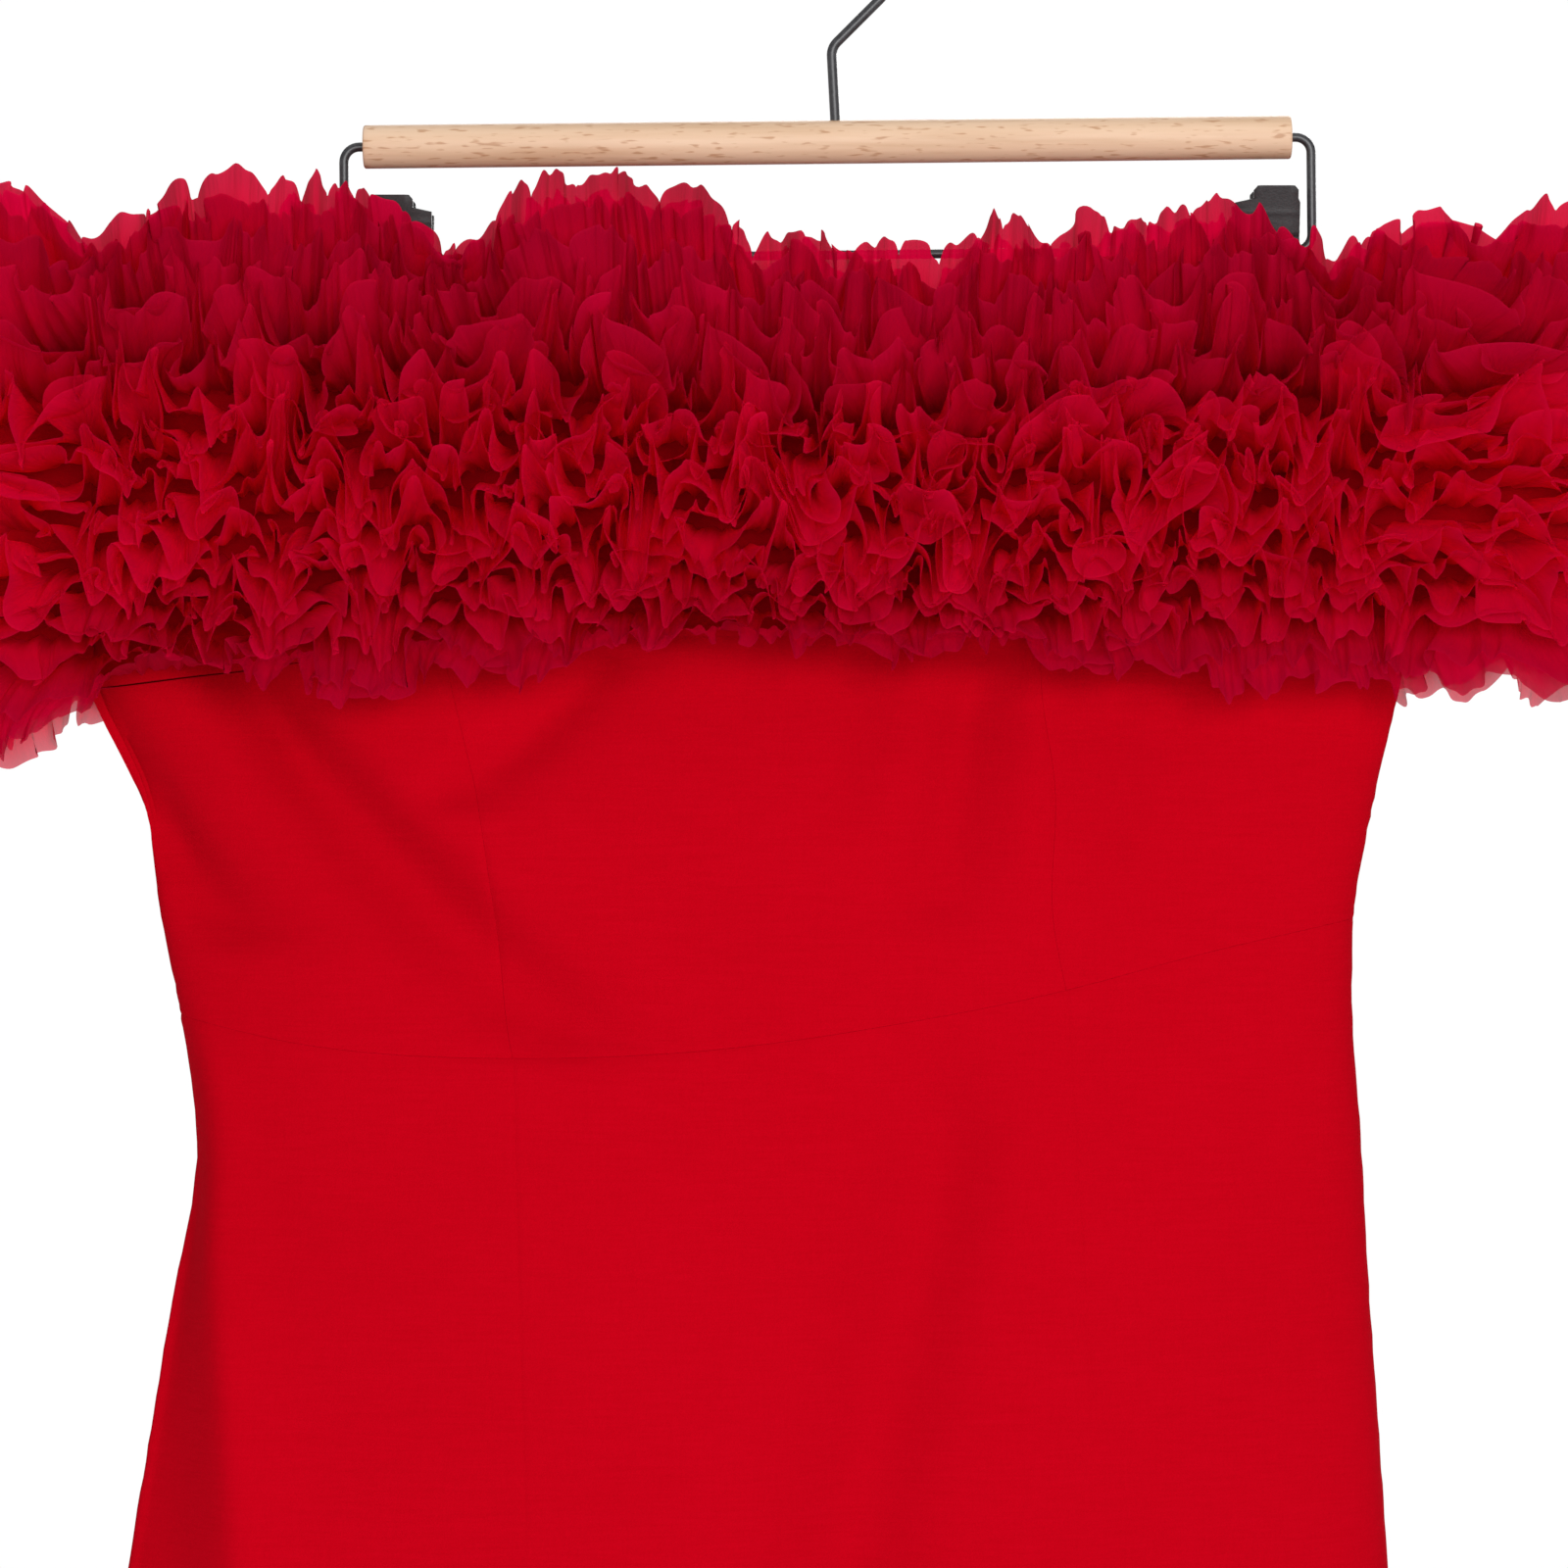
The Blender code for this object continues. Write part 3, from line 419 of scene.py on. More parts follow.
def crepe_material():
    """Matt red crepe: fine crinkled threads with faint level slubs."""
    made = Nodes("crepe")
    slubs = made.noise(made.mapped((70, 70, 1300)), 1.0, 2.0)
    threads = made.noise(made.mapped((900, 900, 120)), 1.0, 1.0)
    grain = made.noise(made.mapped(), 2600.0, 1.0)
    patches = made.noise(made.mapped(), 14.0, 3.0)
    mixed = made.maths("MULTIPLY", slubs, 0.5)
    for layer, share in ((threads, 0.2), (patches, 0.3)):
        mixed = made.maths("ADD", mixed, made.maths("MULTIPLY", layer, share))
    colour = made.ramp(mixed, ((0.36, (0.364, 0.0001, 0.0051)), (0.50, (0.379, 0.0001, 0.0056)),
                               (0.66, (0.393, 0.0002, 0.0063))))
    made.paint(colour)
    made.set(Roughness=0.9, Specular_IOR_Level=0.012,
             Sheen_Weight=0.015, Sheen_Roughness=0.4, Sheen_Tint=(0.9, 0.04, 0.12, 1.0))
    height = made.maths("ADD", made.maths("MULTIPLY", slubs, 0.8), grain)
    made.bump(height, 0.00012, 0.7)
    return made.owner


def tulle_material(name, tone, tip_cover):
    """Gathered red tulle that light passes through, with a painted highlight along its thin cut edge; its
    tone scales the colour as painted light or shade.
    """
    made = Nodes(name)
    uv = made.add("ShaderNodeTexCoord").outputs["UV"]
    edge = made.add("ShaderNodeSeparateXYZ", {"Vector": uv}).outputs["Y"]
    # Colour across the strip: lighter at the seam and darker towards the free edge, with a painted
    # highlight in the last stops at the cut edge
    stops = ((0.0, (0.95, 0.0003, 0.0500)), (0.70, (0.88, 0.0004, 0.0500)),
             (0.93, (0.73, 0.0006, 0.0480)), (0.98, (0.72, 0.0012, 0.0500)),
             (1.0, (0.80, 0.0050, 0.0620)))
    colour = made.ramp(edge, tuple((place, tuple(tone * part for part in rgb)) for place, rgb in stops))
    made.paint(colour)
    made.set(Roughness=0.9, Specular_IOR_Level=0.05)
    threads = made.add("ShaderNodeMapping", {"Vector": uv, "Scale": (420, 1.5, 1)}).outputs["Vector"]
    bump = made.bump(made.noise(threads, 1.0, 1.0), 0.0008, 0.8)
    through = made.add("ShaderNodeBsdfTranslucent", {"Color": colour, "Normal": bump.outputs["Normal"]})
    cloth = made.add("ShaderNodeMixShader", {0: TULLE_PASSES, 1: made.shader.outputs["BSDF"],
                                             2: through.outputs["BSDF"]})
    if tip_cover < 1:
        cover = made.ramp(edge, ((0.55, (1.0, 1.0, 1.0)), (1.0, (tip_cover,) * 3)))
        clear = made.add("ShaderNodeBsdfTransparent")
        cloth = made.add("ShaderNodeMixShader", {0: cover, 1: clear.outputs["BSDF"],
                                                 2: cloth.outputs["Shader"]})
    made.link(cloth.outputs["Shader"], made.tree.nodes["Material Output"].inputs["Surface"])
    return made.owner


def wood_material():
    """Clear satin beech: long grain with short darker flecks."""
    made = Nodes("beech")
    grain = made.noise(made.mapped((9, 160, 160)), 1.0, 4.0, 0.6)
    flecks = made.noise(made.mapped((170, 900, 900)), 1.0, 1.0)
    colour = made.ramp(grain, ((0.25, (0.49, 0.31, 0.185)), (0.50, (0.60, 0.41, 0.275)),
                               (0.78, (0.66, 0.475, 0.335))))
    dark = made.ramp(flecks, ((0.60, (1.0, 1.0, 1.0)), (0.72, (0.72, 0.60, 0.50))))
    mixed = made.add("ShaderNodeMix", {0: 1.0, 6: colour, 7: dark},
                     data_type="RGBA", blend_type="MULTIPLY")
    made.paint(mixed.outputs[2])
    made.set(Roughness=0.50, Specular_IOR_Level=0.35)
    made.bump(made.maths("ADD", grain, made.maths("MULTIPLY", flecks, 0.4)), 0.00015, 0.6)
    return made.owner


def dark_material(name, colour, roughness, size, strength):
    """Black coat of the wire or the clips, with a faint texture."""
    made = Nodes(name)
    texture = made.noise(made.mapped(), size, 3.0)
    lighter = tuple(2.2 * part for part in colour)
    made.paint(made.ramp(texture, ((0.35, colour), (0.75, lighter))))
    made.set(Roughness=roughness)
    made.bump(texture, 0.0001, strength)
    return made.owner


def zip_material():
    made = Nodes("zip_red")
    texture = made.noise(made.mapped(), 900.0, 2.0)
    made.paint(made.ramp(texture, ((0.3, (0.40, 0.001, 0.008)), (0.7, (0.52, 0.002, 0.012)))))
    made.set(Roughness=0.42)
    made.bump(texture, 0.00008, 0.5)
    return made.owner


# Mesh making

def add_mesh(name, points, faces, material, uv=None, sharp=40):
    """One piece from points and faces, smooth but for its sharp edges."""
    mesh = bpy.data.meshes.new(name)
    mesh.from_pydata(points.reshape(-1, 3).tolist(), [], faces)
    if uv is not None:
        layer = mesh.uv_layers.new(name="UVMap")
        corners = np.empty(len(mesh.loops), dtype=np.int32)
        mesh.loops.foreach_get("vertex_index", corners)
        layer.data.foreach_set("uv", uv.reshape(-1, 2)[corners].ravel().astype(np.float32))
    mesh.shade_smooth()
    if sharp:
        mesh.set_sharp_from_angle(angle=math.radians(sharp))
    mesh.materials.append(material)
    piece = bpy.data.objects.new(name, mesh)
    bpy.context.scene.collection.objects.link(piece)
    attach(piece, "root")
    return piece


def grid_faces(rows, columns, start=0, flip=False):
    """Quads of a grid of points, as seen from its outside."""
    index = start + np.arange((rows + 1) * (columns + 1)).reshape(rows + 1, columns + 1)
    quads = np.stack([index[:-1, :-1], index[:-1, 1:], index[1:, 1:], index[1:, :-1]], axis=-1)
    quads = quads.reshape(-1, 4)
    return (quads[:, ::-1] if flip else quads).tolist()


def rim_faces(rows, columns):
    """Quads that close the edges of two facing grids."""
    index = np.arange((rows + 1) * (columns + 1)).reshape(rows + 1, columns + 1)
    around = np.concatenate([index[0, :-1], index[:-1, -1], index[-1, :0:-1], index[:0:-1, 0]])
    following = np.roll(around, -1)
    other = (rows + 1) * (columns + 1)
    return np.stack([following, around, around + other, following + other], axis=-1).tolist()


def add_wall(name, outer, inner, material, sharp=40):
    """A closed wall between two facing grids of points."""
    rows, columns = outer.shape[0] - 1, outer.shape[1] - 1
    faces = grid_faces(rows, columns) + grid_faces(rows, columns, (rows + 1) * (columns + 1), True)
    faces += rim_faces(rows, columns)
    return add_mesh(name, np.stack([outer, inner]), faces, material, sharp=sharp)


def add_cloth(name, outer, inner, material, node):
    """A thin closed wall of cloth that stands for its solid."""
    piece = add_wall(name, outer, inner, material)
    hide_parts(node)


# Crepe panels

SHELL_WALL = 0.0011
SKIRT_HEIGHT, BODICE_HEIGHT, BAND_HEIGHT = 0.455, 0.130, 0.110
SKIRT_SPACING, BODICE_SPACING, BAND_SPACING = 0.0036, 0.0030, 0.004
SEAM_GAP = 0.00003
SEAM_ROLL, SEAM_ROLL_WIDTH = 0.0003, 0.0011
BAND_SEAM_ROLL = 0.2
DART_GROOVE, DART_WIDTH, DART_FADE = 0.00035, 0.0008, 0.030
HEM_HEIGHT, HEM_GROOVE, HEM_WIDTH, HEM_WALL = 0.030, 0.00022, 0.0010, 0.0022
HEM_CLEAR = 0.004
PUCKER_DEPTH, PUCKER_LENGTH, PUCKER_REACH = 0.00016, 0.011, 0.007
FINE_OFFSETS = (0.0, 0.0006, 0.0013, 0.0024, 0.0042)


def spread(length, spacing):
    """Places from 0 to 1 along a length, close together beside its seams."""
    inner = np.linspace(0, length, max(3, int(round(length / spacing)) + 1))
    clear = FINE_OFFSETS[-1] + spacing / 3
    fine = np.array(FINE_OFFSETS)
    keep = inner[(inner > clear) & (inner < length - clear)]
    return np.concatenate([fine, keep, (length - fine)[::-1]]) / length


def seam_roll(distance):
    return SEAM_ROLL * np.exp(-(distance / SEAM_ROLL_WIDTH) ** 2)


def pucker(along, distance):
    """Slight ripple of the cloth beside its stitching."""
    swell = np.exp(-(distance / PUCKER_REACH) ** 2) * np.minimum(1, distance / 0.002)
    phase = 2 * math.pi * along / PUCKER_LENGTH
    ripple = np.sin(phase + 2.1 * np.sin(0.37 * phase)) * (1 + 0.5 * np.sin(0.21 * phase))
    return PUCKER_DEPTH * swell * ripple


def drift(x, z):
    """Low uneven swell of hanging cloth."""
    return 0.0007 * (np.sin(31 * x + 9 * z + 0.7) * np.sin(17 * z - 12 * x)
                     + 0.6 * np.sin(58 * x - 21 * z + 2.0) * np.sin(26 * z + 1.1))


def panel_angles(lines, lower, upper, up, spacing):
    """Angles of a panel's grid, and its stretches between lines with each column's distances."""
    stops = [angles(up) for angles, _ in lines]
    blocks, stretches = [], []
    for first in range(len(lines) - 1):
        start, end = stops[first][len(up) // 2], stops[first + 1][len(up) // 2]
        middle = (lower(np.array(0.5 * (stops[first][0] + stops[first + 1][0]))) + upper(np.array(0.5))) / 2
        length = run_along(body_point(np.linspace(start, end, 60), np.full(60, float(middle))))[-1]
        places = spread(length, spacing)
        part, away = arc_places(start, end, float(middle), places), places * length
        if first > 0:
            part, away = part[1:], away[1:]
        blocks.append(blend(stops[first][:, None], stops[first + 1][:, None], part[None, :]))
        stretches.append((first, away, length - away))
    return np.concatenate(blocks, axis=1), stretches


def crepe_panel(node, lines, lower, upper, material, spacing, hem=False):
    """A panel between seams. Lines are its side seams and, between them, its darts: each gives
    its angles by height, and the height where its stitching ends."""
    height = SKIRT_HEIGHT if hem else BODICE_HEIGHT
    up = spread(height, spacing * (1.4 if hem else 1.0))
    if hem:
        extra = HEM_HEIGHT / height + np.array([-2, -1, 0, 1, 2]) * HEM_WIDTH / height
        clear = (up < extra[0] - HEM_CLEAR) | (up > extra[-1] + HEM_CLEAR)
        up = np.unique(np.concatenate([up[clear], extra]))
    angle, stretches = panel_angles(lines, lower, upper, up, spacing)
    z = blend(lower(angle), upper(angle), up[:, None])
    base = body_point(angle, z, creased=True)
    outward = level_normal(body_point(angle + SMALL_STEP, z, creased=True)
                           - body_point(angle - SMALL_STEP, z, creased=True))
    inward = drift(base[..., 0], z)
    column = 0
    for first, from_first, from_second in stretches:
        here = slice(column, column + len(from_first))
        for (_, ends), away in ((lines[first], from_first), (lines[first + 1], from_second)):
            reach = 1.0
            if ends is None:
                inward[:, here] += seam_roll(away)[None, :]
            else:
                reach = ease((z[:, here] - ends + DART_FADE / 3) / DART_FADE)
                inward[:, here] += DART_GROOVE * np.exp(-(away / DART_WIDTH) ** 2)[None, :] * reach
            inward[:, here] += pucker(z[:, here], away[None, :]) * reach
        column += len(from_first)
    tall = upper(angle) - lower(angle)
    from_top, from_foot = (1 - up[:, None]) * tall, up[:, None] * tall
    inward += seam_roll(from_top) * (1.0 if hem else BAND_SEAM_ROLL) + pucker(base[..., 0], from_top)
    if hem:
        inward += HEM_GROOVE * np.exp(-((from_foot - HEM_HEIGHT) / HEM_WIDTH) ** 2)
        wall = blend(HEM_WALL, SHELL_WALL, ease((from_foot - HEM_HEIGHT) / 0.001 + 1))
    else:
        inward += seam_roll(from_foot) + pucker(base[..., 0], from_foot)
        wall = np.full(inward.shape, SHELL_WALL)
    outer = base - outward * inward[..., None]
    for grid in (outer.swapaxes(0, 1), outer):
        for edge, beside in ((0, 1), (-1, -2)):
            step = grid[beside] - grid[edge]
            grid[edge] += step / np.linalg.norm(step, axis=-1, keepdims=True) * SEAM_GAP
    add_cloth("cloth_" + node, outer, outer - outward * wall[..., None], material, node)


def run_along(points):
    """Length along a line of points, from its start to each of them."""
    return np.concatenate([[0], np.cumsum(np.linalg.norm(np.diff(points, axis=0), axis=-1))])


def arc_places(first, last, z, places):
    """Turn places along the arc between two angles into places between the angles."""
    part = np.linspace(0, 1, 241)
    run = run_along(body_point(blend(first, last, part), np.full(241, z)))
    return np.interp(places * run[-1], run, part)


def fixed_line(angle):
    return lambda up: np.full(len(up), angle), None


def princess_line(name):
    waist_x, band_x = PRINCESS_SEAMS[name]
    at_waist = body_angle(waist_x, float(WAIST(waist_x)))
    at_band = body_angle(band_x, float(RING["bottom"](band_x)))
    return lambda up: blend(at_waist, at_band, up), None


def dart_line(name):
    """Line of a skirt dart from the waist, kept straight on to the hem."""
    face, waist_x, end_x, end_z = DARTS[name]
    waist_z = float(WAIST(waist_x))

    def angles(up):
        z = blend(HEM_Z, waist_z, up)
        x = blend(waist_x, end_x, (waist_z - z) / (waist_z - end_z))
        return np.array([body_angle(place, level, face) for place, level in zip(x, z)])

    return angles, end_z


def hem_height(angle):
    return np.full(np.shape(angle), HEM_Z)


def add_crepe(material):
    """Bodice and skirt panels."""
    left, right = princess_line("left"), princess_line("right")
    left_side, right_side = fixed_line(LEFT_SIDE), fixed_line(RIGHT_SIDE)
    back, left_again = fixed_line(BACK), fixed_line(2 * math.pi)
    for node, *lines in (
        ("bodice_front_side_left", left_side, left),
        ("bodice_front_centre", left, right),
        ("bodice_front_side_right", right, right_side),
        ("bodice_back_right", right_side, back),
        ("bodice_back_left", back, left_again),
    ):
        crepe_panel(node, lines, waist_height, band_seam_height, material, BODICE_SPACING)
    for node, *lines in (
        ("skirt_front", left_side, dart_line("front_left"), dart_line("front_right"), right_side),
        ("skirt_back_right", right_side, dart_line("back_right"), back),
        ("skirt_back_left", back, dart_line("back_left"), left_again),
    ):
        crepe_panel(node, lines, hem_height, waist_height, material, SKIRT_SPACING, hem=True)


def band_creases(points, up, name):
    """The bodice's creases, as they run out on the lower half of the band."""
    x, z = points[..., 0], points[..., 2]
    facing = body_half_depth(x, z) / BODY["depth"](z)
    pressed = fold_depth(x, z, name, CREASES, CREASE_FADE) * np.minimum(1.0, 6 * facing)
    return pressed * (1 - ease(2 * up)) * (1 if name == "front" else -1)


def add_band_base(material):
    """The crepe band under the ruffles, a little below its solids' surface."""
    for name, length in RING_PARTS:
        way, up = spread(length, BAND_SPACING)[None, :], spread(BAND_HEIGHT, BAND_SPACING)[:, None]
        way, up = np.broadcast_arrays(way, up)
        outer = part_surface(name, way, up)
        along = part_surface(name, way + SMALL_STEP, up) - part_surface(name, way - SMALL_STEP, up)
        outward = level_normal(along)
        turn = part_turn(name, way)
        heading = np.stack([-np.sin(turn), np.cos(turn), 0 * turn], axis=-1)
        outward[:, 0], outward[:, -1] = heading[:, 0], heading[:, -1]
        edge = np.minimum(way, 1 - way) * length
        inward = seam_roll(edge) + drift(outer[..., 0], outer[..., 2]) * (1 - ease(2 * up))
        outer = outer - outward * inward[..., None]
        if "sleeve" not in name:
            outer[..., 1] += band_creases(outer, up, name.split("_")[0])
        node = name if "sleeve" in name else "band_" + name
        add_cloth("cloth_" + node, outer, outer - outward * SHELL_WALL, material, node)


# Ruffles

STRIP_COUNT = 19
STRIP_COLUMNS, STRIP_LEVELS = 2600, 8
FLOW_CELL, FLOW_MARGIN = 0.001, 0.050
# Swirls of the gathered cloth: size of each kind and its share of the way
SWIRLS = ((0.0060, 0.75), (0.0031, 0.62))
FLOW_REACH = 0.0088
FLOW_STEPS = 4
RUFFLE_SEED = 11
ROOT_GAP = 0.0006
# Uneven free edges (x, z) of the whole ring in millimetres, above and below, as the photo shows them
TOP_EDGE = (
    (-320, -90), (-269, -84), (-254, -91), (-238, -114), (-222, -109),
    (-206, -94), (-174, -92), (-151, -94), (-134, -106), (-112, -114.5),
    (-103, -94), (-79, -87), (-48, -88), (-39, -96), (-24, -113),
    (-8, -103), (0, -111), (16, -108), (26, -114.5), (40, -112),
    (48, -103), (56, -101), (64, -112), (79, -105), (95, -103),
    (111, -97), (127, -96), (137, -103), (151, -114), (159, -124),
    (174, -108), (190, -107), (206, -111), (216, -99), (238, -103),
    (290, -106),
)
BOTTOM_EDGE = (
    (-320, -293), (-268, -290), (-255, -281), (-243, -265), (-232, -251),
    (-195, -249), (-172, -261), (-148, -263), (-126, -256), (-98, -258),
    (-79, -250), (-57, -243), (-35, -241), (3, -246), (25, -251),
    (41, -243), (67, -252), (111, -255), (136, -264), (155, -260),
    (182, -262), (200, -266), (230, -262), (290, -259),
)
BACK_BOTTOM_EDGE = (
    (-320, -293), (-268, -290), (-255, -281), (-243, -277), (-235, -282),
    (-223, -294), (-205, -280), (-150, -262), (-80, -257), (-10, -264),
    (70, -256), (140, -266), (182, -263), (200, -266), (230, -262),
    (290, -259),
)
# Fan of the ruffles by height on the band: length, rise of the edge inside the fan, and how
# far the edge follows the uneven bottom and top, how strongly it meanders, how much of that
# goes up and down, and how deep its scallops are
FAN_COLUMNS = ("up", "length", "rise", "to_bottom", "to_top", "swirl", "swirl_up", "scallop")
FAN = (
    (0.00, 0.034, 0.000, 1.0, 0.0, 0.50, 0.50, 0.10),
    (0.15, 0.037, -0.004, 0.20, 0.0, 0.65, 0.70, 0.08),
    (0.32, 0.040, -0.009, 0.0, 0.0, 0.95, 0.90, 0.07),
    (0.50, 0.042, 0.001, 0.0, 0.0, 1.05, 1.00, 0.07),
    (0.68, 0.044, 0.008, 0.0, 0.0, 0.90, 0.80, 0.08),
    (0.84, 0.046, 0.012, 0.0, 0.30, 0.60, 0.40, 0.12),
    (1.00, 0.048, 0.000, 0.0, 1.0, 0.32, 0.15, 0.14),
)
FAN_CURVES = table_curves(FAN, FAN_COLUMNS)
TOP_CURVE = edge_curve(TOP_EDGE)
BOTTOM_CURVE, BACK_BOTTOM_CURVE = edge_curve(BOTTOM_EDGE), edge_curve(BACK_BOTTOM_EDGE)
OVERSHOOT = 0.25
FAN_BEND = math.radians(28)
# Scallops of the free edge, by half turns round the ring, and small frills of each ruffle's own
SCALLOPS = 43
FRILL = 0.0022
FRILL_TURNS = (89, 131, 173)
# How far a ruffle's free edge falls over, upwards or downwards, by turns round the ring
FLOP = math.radians(46)
FLOP_TURNS = (29, 47, 71, 97)


def swirl_field(shape, size, random):
    """Speed of a smooth swirling flow, even in strength, that repeats round the ring."""
    waves = np.fft.fftfreq(shape[0], FLOW_CELL)[:, None] ** 2 + np.fft.fftfreq(shape[1], FLOW_CELL) ** 2
    kernel = np.exp(-2 * (math.pi * size) ** 2 * waves)
    stream = np.fft.ifft2(np.fft.fft2(random.standard_normal(shape)) * kernel).real
    along, up = np.gradient(stream, FLOW_CELL)
    speed = np.stack([up, -along], axis=-1)
    return speed / np.sqrt((speed ** 2).sum(axis=-1).mean())


def read_field(field, along, up):
    """Field at places on the unrolled ring, which joins up with itself."""
    row = along / FLOW_CELL
    column = np.clip((up + FLOW_MARGIN) / FLOW_CELL, 0, field.shape[1] - 1.001)
    low_row, low_column = np.floor(row).astype(int), np.floor(column).astype(int)
    part_row, part_column = (row - low_row)[..., None], (column - low_column)[..., None]
    first, second = low_row % field.shape[0], (low_row + 1) % field.shape[0]
    near = blend(field[first, low_column], field[second, low_column], part_row)
    far = blend(field[first, low_column + 1], field[second, low_column + 1], part_row)
    return blend(near, far, part_column)


def fan_offset(root, up, share, flop, heading):
    """How far a ruffle has come off the band after a share of its width."""
    place = np.clip(up, 0, 1)
    length = FAN_CURVES["length"](place)
    above = FAN_CURVES["to_top"](place) * (TOP_CURVE(root[..., 0]) - root[..., 2])
    lowest = blend(BOTTOM_CURVE(root[..., 0]), BACK_BOTTOM_CURVE(root[..., 0]),
                   ease(root[..., 1] / 0.02 + 0.5))
    below = FAN_CURVES["to_bottom"](place) * (lowest - root[..., 2])
    rise = FAN_CURVES["rise"](place) + above + below + OVERSHOOT * (up - place) * BAND_HEIGHT
    lean = np.arcsin(np.clip(rise / length, -0.97, 0.97))
    bend = FAN_BEND * np.clip(lean / 0.8, -1, 1)
    steps = 8
    out, high = np.zeros_like(share), np.zeros_like(share)
    for step in range(steps):
        middle = share * (step + 0.5) / steps
        slope = lean + bend * (2.1 * middle ** 1.2 - 1) + flop * middle ** 2
        out += np.cos(slope) * share / steps
        high += np.sin(slope) * share / steps
    upward = np.array([0.0, 0.0, 1.0])
    return (length * out)[..., None] * heading + (length * high)[..., None] * upward


def fan_across(offset, heading):
    """Direction that stands off a ruffle's own cloth, upright where the ruffle stands out."""
    out, high = (offset * heading).sum(axis=-1), offset[..., 2]
    reach = np.hypot(out, high) + 1e-9
    return (out / reach)[:, None] * np.array([0.0, 0.0, 1.0]) - (high / reach)[:, None] * heading


def wander(along, terms):
    """Uneven wave round the ring, from a few whole numbers of turns."""
    angle = 2 * math.pi * along / RING_LENGTH
    return sum(size * np.sin(turns * angle + start) for size, turns, start in terms)


def strip_points(strip, flow, phases, along):
    """Levels of one strip from its seam to its free edge, drifting in the shared swirls."""
    middle = (strip + 0.5) / STRIP_COUNT
    turned = 2 * math.pi * along / RING_LENGTH
    lobes = np.sin(SCALLOPS * turned + 1.6 * np.sin(7 * turned + phases[2])
                   + 0.6 * np.sin(19 * turned + phases[3]) + phases[4])
    deep = float(FAN_CURVES["scallop"](middle))
    length = 1 - deep * (1 - np.abs(lobes) ** 0.5) + wander(along, ((0.03, 11, phases[5]),))
    flop = wander(along, tuple((0.62, turns, phase) for turns, phase in zip(FLOP_TURNS, phases[6:])))
    flop = FLOP * np.tanh(flop) * (1 - 0.7 * abs(2 * middle - 1) ** 2)
    frill = wander(along, tuple((FRILL / 2, turns, phase) for turns, phase in zip(FRILL_TURNS, phases)))
    up = middle * BAND_HEIGHT + wander(along, ((0.0006, 211, phases[0]), (0.0005, 317, phases[1])))
    shares = np.linspace(0, 1, STRIP_LEVELS) ** 0.85
    levels, done = [], 0.0
    for share in shares:
        aim = share ** 1.4
        for _ in range(FLOW_STEPS if aim > done else 0):
            inside = np.clip(up / BAND_HEIGHT, 0, 1)
            strength = FAN_CURVES["swirl"](inside)
            strength = np.stack([strength, strength * FAN_CURVES["swirl_up"](inside)], axis=-1)
            step = strength * (aim - done) / FLOW_STEPS * FLOW_REACH
            half = read_field(flow, along, up) * step / 2
            full = read_field(flow, along + half[:, 0], up + half[:, 1]) * step
            along, up = along + full[:, 0], up + full[:, 1]
        done = aim
        place = up / BAND_HEIGHT
        root, heading = ring_point(along, np.clip(place, 0, 1))
        offset = fan_offset(root, place, share * length, flop, heading)
        offset = offset + (frill * share ** 1.5)[:, None] * fan_across(offset, heading)
        levels.append(root + heading * ROOT_GAP + offset)
    return np.stack(levels), shares


def even_columns(points, along):
    """Places along a strip's seam that space the points of its free edge evenly."""
    run = np.linalg.norm(np.diff(points[-1], axis=0, append=points[-1, :1]), axis=-1) + 0.0003
    run = np.concatenate([[0], np.cumsum(run)])
    return np.interp(np.linspace(0, run[-1], STRIP_COLUMNS + 1)[:-1], run, np.append(along, RING_LENGTH))


def add_ruffles():
    """Strips of tulle sewn round the band, whose free edges meander and nest in each other."""
    random = np.random.default_rng(RUFFLE_SEED)
    shape = (int(round(RING_LENGTH / FLOW_CELL)), int(round((BAND_HEIGHT + 2 * FLOW_MARGIN) / FLOW_CELL)))
    flow = sum(share * swirl_field(shape, size, random) for size, share in SWIRLS)
    # Lit and shaded copies of one tulle: each copy's tone is painted light or shade for its strips
    tulles = [tulle_material(name, tone, cover) for name, _, tone, cover in PAINTED_SHADE_TULLES]
    tulles = [tulle for tulle, row in zip(tulles, PAINTED_SHADE_TULLES) for _ in range(row[1])]
    for strip in range(STRIP_COUNT):
        phases = random.uniform(0, 2 * math.pi, 10)
        along = np.linspace(0, RING_LENGTH, 3 * STRIP_COLUMNS + 1)[:-1]
        along = even_columns(strip_points(strip, flow, phases, along)[0], along)
        points, shares = strip_points(strip, flow, phases, along)
        uv = np.stack(np.broadcast_arrays(run_along(points[-1])[None, :], shares[:, None]), axis=-1)
        piece = add_mesh(f"ruffle_strip_{strip + 1:02d}", points,
                         grid_faces(STRIP_LEVELS - 1, STRIP_COLUMNS - 1), tulles[strip], uv, sharp=None)
        group = 4 - strip * 4 // STRIP_COUNT
        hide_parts(*(f"ruffle_{name}_{group}" for name, _ in RING_PARTS))


# Hanger

def round_rod(length, radius, edge, sides, rings):
    """A rod along X with slightly rounded ends."""
    stations = [(-length / 2, 0.0), (-length / 2, radius - edge)]
    for step in range(1, 4):
        turn = math.pi / 2 * step / 3
        stations.append((-length / 2 + edge * (1 - math.cos(turn)), radius - edge * (1 - math.sin(turn))))
    middle = [(x, radius) for x in np.linspace(-length / 2 + 3 * edge, length / 2 - 3 * edge, rings)]
    stations += middle + [(-x, r) for x, r in reversed(stations)]
    angles = np.linspace(0, 2 * math.pi, sides, endpoint=False)
    return np.array([[(x, r * math.cos(a), r * math.sin(a)) for a in angles] for x, r in stations])


